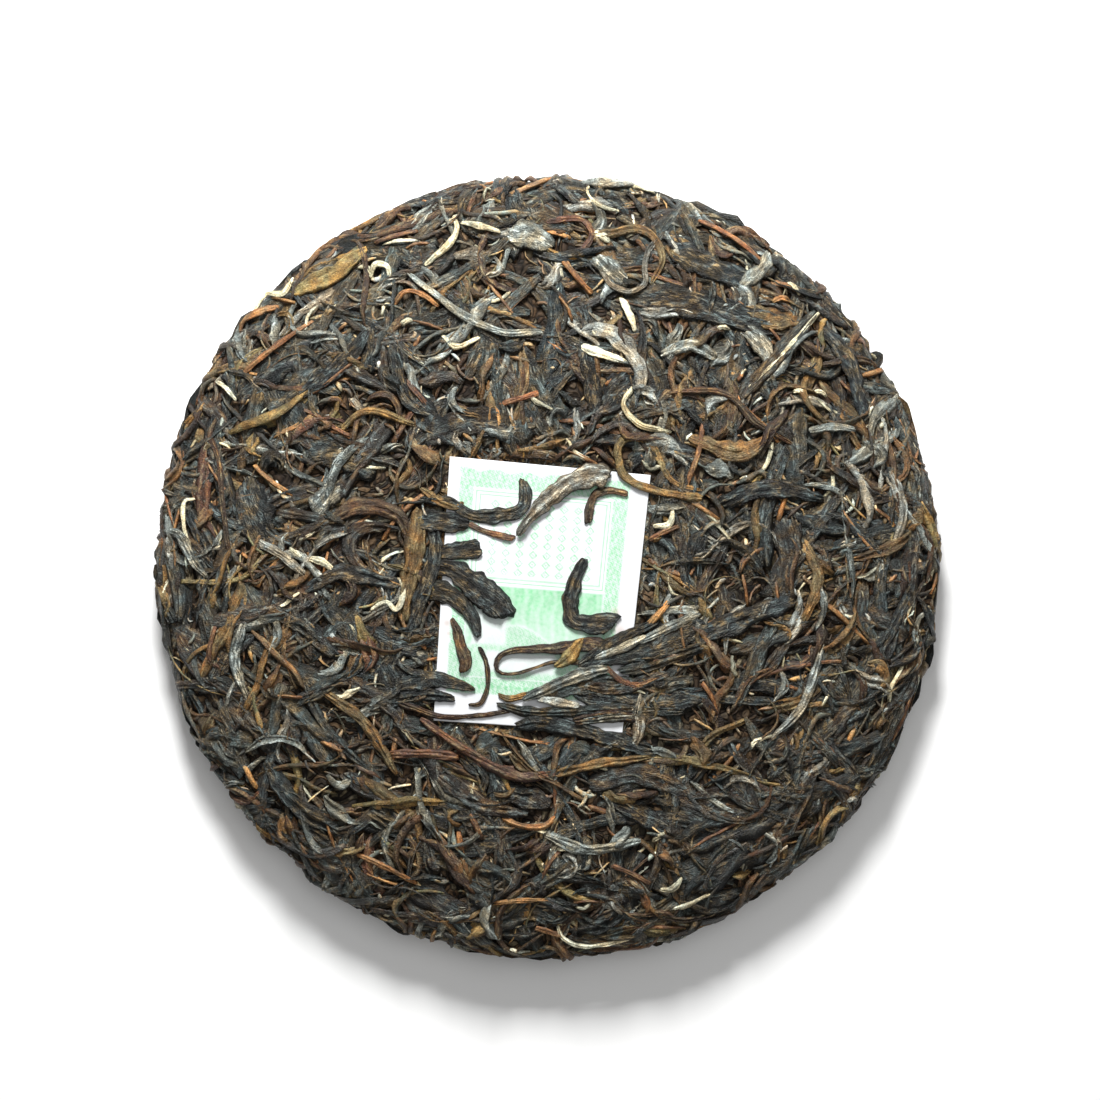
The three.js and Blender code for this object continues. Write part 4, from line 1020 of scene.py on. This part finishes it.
def ticket_surface():
    """A sheet between the ticket's four corners: a grid that is mixed from them in both ways, at the
    paper's height, a second one below it, and a wall round both. Also the place on the paper of each
    point, in millimetres."""
    columns, rows = (round(size / TICKET_GRID) for size in TICKET_SIZE)
    u, v = np.meshgrid(np.linspace(0, 1, columns + 1), np.linspace(0, 1, rows + 1))
    a, b, c, d = TICKET_CORNERS
    f, g = u[..., None], v[..., None]
    flat = (a * (1 - f) + b * f) * (1 - g) + (d * (1 - f) + c * f) * g
    x, y = flat[..., 0], flat[..., 1]
    z = face_height(x, y) + paper_level(x, y)
    top = np.stack([x + SHIFT[0], y + SHIFT[1], z], -1).reshape(-1, 3)
    points = np.concatenate([top, top - (0, 0, TICKET_THICKNESS)])
    wide, below = columns + 1, len(top)
    j, i = np.meshgrid(np.arange(rows), np.arange(columns), indexing="ij")
    k = (j * wide + i).ravel()
    upper = np.stack([k, k + wide, k + wide + 1, k + 1], 1)
    i, j = np.arange(columns), np.arange(rows) * wide
    foot, right = i + rows * wide, j + columns
    sides = ((i, i + 1), (foot + 1, foot), (j + wide, j), (right, right + wide))
    walls = [np.stack([start, end, end + below, start + below], 1) for start, end in sides]
    faces = np.concatenate([upper, upper[:, ::-1] + below, *walls])
    paper = np.stack([u.ravel() * TICKET_SIZE[0], v.ravel() * TICKET_SIZE[1]], 1) / MM
    return points, faces.tolist(), np.concatenate([paper, paper])


def paper_material():
    """Thin uncoated paper: white, matt, with a faint cloud of fibres. The print soaked in, so its green is
    soft and a little blotched."""
    material, tree, shader = new_material("uncoated paper, printed green")
    ink = add_node(tree, "Attribute", {}, "Fac", attribute_name="ink")
    stain = add_node(tree, "Attribute", {}, "Fac", attribute_name="stain")
    place = add_node(tree, "TexCoord", {}, "Object")
    cloud = add_node(tree, "TexNoise", {"Vector": place, "Scale": 1 / PAPER_CLOUD, "Detail": 3.0}, "Fac")
    blotched = add_node(tree, "MapRange", dict(zip(RANGE_INPUTS, (cloud, 0.3, 0.7, 0.7, 1.0))))
    soaked = add_node(tree, "Math", {0: ink, 1: blotched}, operation="MULTIPLY")
    stained = add_node(tree, "Math", {0: stain, 1: 0.35}, operation="MULTIPLY")
    colour = linear("#dadcde")
    for share, tint in ((soaked, "#6fbd84"), (stained, "#a5764f")):
        colour = add_node(tree, "Mix", {0: share, 6: colour, 7: linear(tint)}, 2, data_type="RGBA")
    relief = add_node(tree, "Bump", {"Height": cloud, "Distance": PAPER_RELIEF, "Strength": 0.5})
    set_inputs(shader, {"Base Color": colour, "Roughness": 0.8, "Normal": relief})
    return material


points, faces, paper = ticket_surface()
ticket = add_piece("paper_ticket", points, faces, paper_material(), "ticket")
keep_values(ticket, "ink", print_ink(*paper.T))
keep_values(ticket, "stain", stain_share(*paper.T))


# The leaves that hold the ticket: they grow out of the mat, cross the paper's edge and lie on it. A
# bundle from the right covers the paper's foot, and a stem loops over its top right corner. A row is the
# widths, the height of the underside above the paper, the places, and the tone in the palette.
HOLDING_SEED = 83
PAPER_SECTIONS = (40, 19)
HOLDING_DARK = [
    ((1.6, 3.4, 3.0), 0.05, [(-32, 17.5), (-24.7, 16.5), (-21.2, 14.2), (-17.1, 12.8), (-11.8, 13.2),
        (-7.6, 14.2), (-5.6, 17), (-5.8, 21.9)], 0.12),
    ((4.6, 5.4, 3.4), 0.05, [(-33, 11.9), (-27.6, 11.7), (-24.1, 11.3), (-20, 10.7)], 0.0),
    ((2.6, 3.8, 5.2), 0.05, [(-33, 3.2), (-26.9, 3.8), (-22.2, 4.3), (-17.1, 4.9)], 0.05),
    ((2.6, 6.4, 7.6), 0.35, [(-32.5, 1.6), (-27, 0.3), (-23.5, -0.6), (-18.1, -4.5), (-13.6, -8.5),
        (-10.9, -12)], 0.0),
    ((4.2, 5.0, 1.6), 0.05, [(-34, -4.6), (-29.9, -5.3), (-25.4, -6.4), (-21.4, -9), (-18.9, -12.6),
        (-17.2, -17.2)], 0.15),
    ((1.6, 3.2, 1.6), 0.7, [(27, -13.6), (21.4, -16.2), (17.6, -18), (12.2, -21.2), (7.9, -24)], 0.1),
    ((4.6, 6.4, 2.4), 0.35, [(40, -14.6), (31, -18), (24.6, -20.4), (15.6, -21.9), (7.9, -24.4)], 0.15),
    ((2.4, 3.6, 2.2), 0.5, [(40, -19.4), (27.8, -23.6), (18.2, -26.2)], 0.3),
    ((3.0, 4.2, 2.0), 0.35, [(36, -28.6), (24.6, -29.7), (15.6, -29), (6.7, -30.3), (-4.9, -31.9)], 0.3),
    ((4.0, 6.6, 4.0), 0.05, [(38, -32.2), (24.6, -33.8), (16.9, -32.9), (6.7, -31.3)], 0.0),
    ((2.4, 3.4, 1.6), 0.2, [(34, -36), (22.1, -35.6), (5.4, -36.2), (-4.2, -36.2), (-12.6, -34.4)], 0.2),
    ((3.2, 4.4, 3.0), 0.05, [(26, -45.6), (16.5, -43.2), (7.9, -40.8), (-1, -39), (-7.4, -39.8)], 0.08),
    ((3.4, 4.4, 1.0), 0.05, [(-38, -29.6), (-29.2, -28.1), (-24.1, -28.9), (-18.3, -30.6)], 0.1),
    ((3.0, 3.4, 2.0), 0.05, [(-38, -32.8), (-30.5, -31.9), (-23.5, -32.8)], 0.0),
    ((2.0, 3.4, 2.0), 0.7, [(30, -26.4), (18.2, -30.3), (9.2, -29.4)], 0.5),
]
HOLDING_BROWN = [
    ((1.5, 1.2, 4.6), 0.5, [(12, -24.2), (2.8, -23.5), (-3, -25), (-7.4, -26.4), (-11.3, -26.6),
        (-13, -24.9), (-11.9, -22), (-8.1, -20.6), (-2.3, -20.4), (2.8, -20.2), (8.3, -19),
        (13, -19.6)], 0.0),
    ((1.8, 1.5, 1.1), 0.1, [(-38, -33.6), (-33, -35.3), (-26.7, -37.4), (-17.1, -37.1),
        (-9.4, -35.9)], 0.42),
    ((1.4, 1.6, 1.9), 0.1, [(-19.9, 11.2), (-16.4, 9.4), (-11.9, 8.1), (-8.4, 7.3)], 0.72),
    ((1.6, 3.6, 1.2), 0.9, [(2.2, -24.9), (5.4, -22.3), (8.5, -17.6)], 0.86),
    ((1.2, 1.8, 1.4), 1.0, [(15, -25.2), (18.2, -28.1), (22.7, -29.5), (28, -27.4)], 0.7),
    ((1.2, 1.8, 1.2), 0.1, [(-12.4, -32), (-9.4, -32.9), (-4.6, -31.6)], 0.57),
    ((2.4, 2.0, 1.5), 0.3, [(38.7, 17.6), (31, 18.4), (24.6, 20.3), (20.8, 21.6), (18.3, 24.5),
        (17.6, 29), (19.2, 32.1), (22.4, 32.8), (25.9, 31.2), (28.1, 27.4), (30.1, 23.2), (33, 21),
        (38.1, 19.7)], 0.57),
    ((2.0, 3.6, 2.6), 0.35, [(6.7, -38.6), (15.6, -36.9), (24.6, -37.6)], 0.0),
    ((1.0, 2.4, 1.2), 0.3, [(-21.2, 16.5), (-23.5, 15.3), (-27.3, 17), (-31.8, 20)], 0.28),
]
HOLDING_GREY = [
    ((1.2, 3.4, 2.0), 0.8, [(-6.2, -33.1), (1.5, -29.6), (8.6, -26.7), (15, -25.2)], 0.1),
    ((1.4, 2.6, 1.4), 0.8, [(22.7, -18.8), (31.7, -14.3), (38.1, -11.4)], 0.3),
    ((1.4, 2.4, 1.2), 0.7, [(-2.3, -32.8), (2.8, -33.7), (7.9, -34.6)], 0.8),
    ((1.4, 2.6, 1.4), 0.5, [(8.6, -38.5), (15.6, -37.6), (23.3, -37.3)], 0.0),
    ((1.2, 2.4, 1.4), 1.1, [(11.8, -22.6), (18.2, -20.2), (24.6, -17.2)], 0.4),
]

for name, rows, material, slot_name in (
    ("holding_dark_leaves", HOLDING_DARK, dark_leaf, "tea_leaf"),
    ("holding_brown_leaves", HOLDING_BROWN, brown_leaf, "tea_leaf"),
    ("holding_grey_leaves", HOLDING_GREY, grey_leaf, "grey_leaf"),
):
    seed = HOLDING_SEED + len(rows)
    add_placed(name, seed, rows, material, "cake", PAPER_SECTIONS, paper_level)


# The loose leaves: pieces of leaf and stalk that lie on the paper by themselves. A row is the piece, its
# material and slot, and its widths, height, places and tone as above.
LOOSE_SEED = 97
LOOSE = (
    ("grey_blade", grey_leaf, "grey_leaf", (1.6, 4.6, 6.0), 0.9, [(-7.4, 8.1), (-4.2, 12.9), (0.9, 17.8),
        (6, 21.6), (11.2, 23.2), (15.3, 23.2)], 0.97),
    ("hooked_stalk", brown_leaf, "stalk", (2.0, 2.2, 1.5), 0.05, [(10.2, 11.3), (10.6, 15.5), (12.1, 18.4),
        (15.6, 19.4), (20.1, 18.6)], 0.4),
    ("dark_leaf", dark_leaf, "tea_leaf", (2.8, 4.4, 5.4), 0.05, [(9.2, 2.3), (6.7, -3.8), (5.6, -9.5),
        (7.6, -13.8), (16.9, -14)], 0.0),
    ("brown_strip", brown_leaf, "tea_leaf", (1.4, 3.0, 3.0), 0.05, [(-24.1, -12.8), (-22.8, -15.6),
        (-21.8, -19.4), (-20.6, -23.4), (-20.9, -25.9)], 0.1),
    ("hooked_twig", brown_leaf, "stalk", (1.2, 1.3, 1.1), 0.05, [(-17.1, -19.9), (-15.5, -23.6),
        (-15, -27.8), (-15.5, -31.3), (-17.1, -34.2), (-19.8, -34.5)], 0.0),
)
for k, (name, material, slot_name, *row) in enumerate(LOOSE):
    node = name + "_on_ticket"
    add_placed(name, LOOSE_SEED + k, [row], material, node, PAPER_SECTIONS, paper_level)


# The stage: a plain pale table under soft studio light from the head of the ticket, with the camera
# straight above, as the photograph looks on the cake's face.
TABLE_HALF = 3
WORLD_STRENGTH = 0.26
FRAME_PIXELS = 1100
PIXELS_PER_METRE = 3900
LENS = 80
SENSOR = 36
CAMERA_ASIDE = (0.0003, 0.0046)

table = bpy.data.meshes.new("table")
corners = ((-1, -1, 0), (1, -1, 0), (1, 1, 0), (-1, 1, 0))
table.from_pydata([Vector(corner) * TABLE_HALF for corner in corners], [], [(0, 1, 2, 3)])
table_top = bpy.data.objects.new("table", table)
bpy.context.scene.collection.objects.link(table_top)
table_paint, _, shader = new_material("matt white laminate")
set_inputs(shader, {"Base Color": linear("#fcfcfb"), "Roughness": 0.7})
table.materials.append(table_paint)

for name, at, size, power in (
    ("key", (-0.04, 0.44, 0.34), 0.16, 6.6),
    ("fill", (0.15, 0.15, 0.85), 0.6, 1.4),
):
    light = bpy.data.lights.new(name, "AREA")
    light.size = size
    light.energy = power
    lamp = bpy.data.objects.new(name, light)
    lamp.location = at
    lamp.rotation_euler = (-Vector(at)).to_track_quat("-Z", "Y").to_euler()
    bpy.context.scene.collection.objects.link(lamp)

world = bpy.data.worlds.new("studio")
world.use_nodes = True
set_inputs(world.node_tree.nodes["Background"], {"Color": (1, 1, 1, 1), "Strength": WORLD_STRENGTH})
bpy.context.scene.world = world
bpy.context.scene.view_settings.view_transform = "Standard"

camera = bpy.data.cameras.new("camera")
camera.lens = LENS
camera.sensor_width = SENSOR
distance = FRAME_PIXELS / PIXELS_PER_METRE * LENS / SENSOR
viewer = bpy.data.objects.new("camera", camera)
viewer.location = (*CAMERA_ASIDE, RIM_HEIGHT + distance)
bpy.context.scene.collection.objects.link(viewer)
bpy.context.scene.camera = viewer
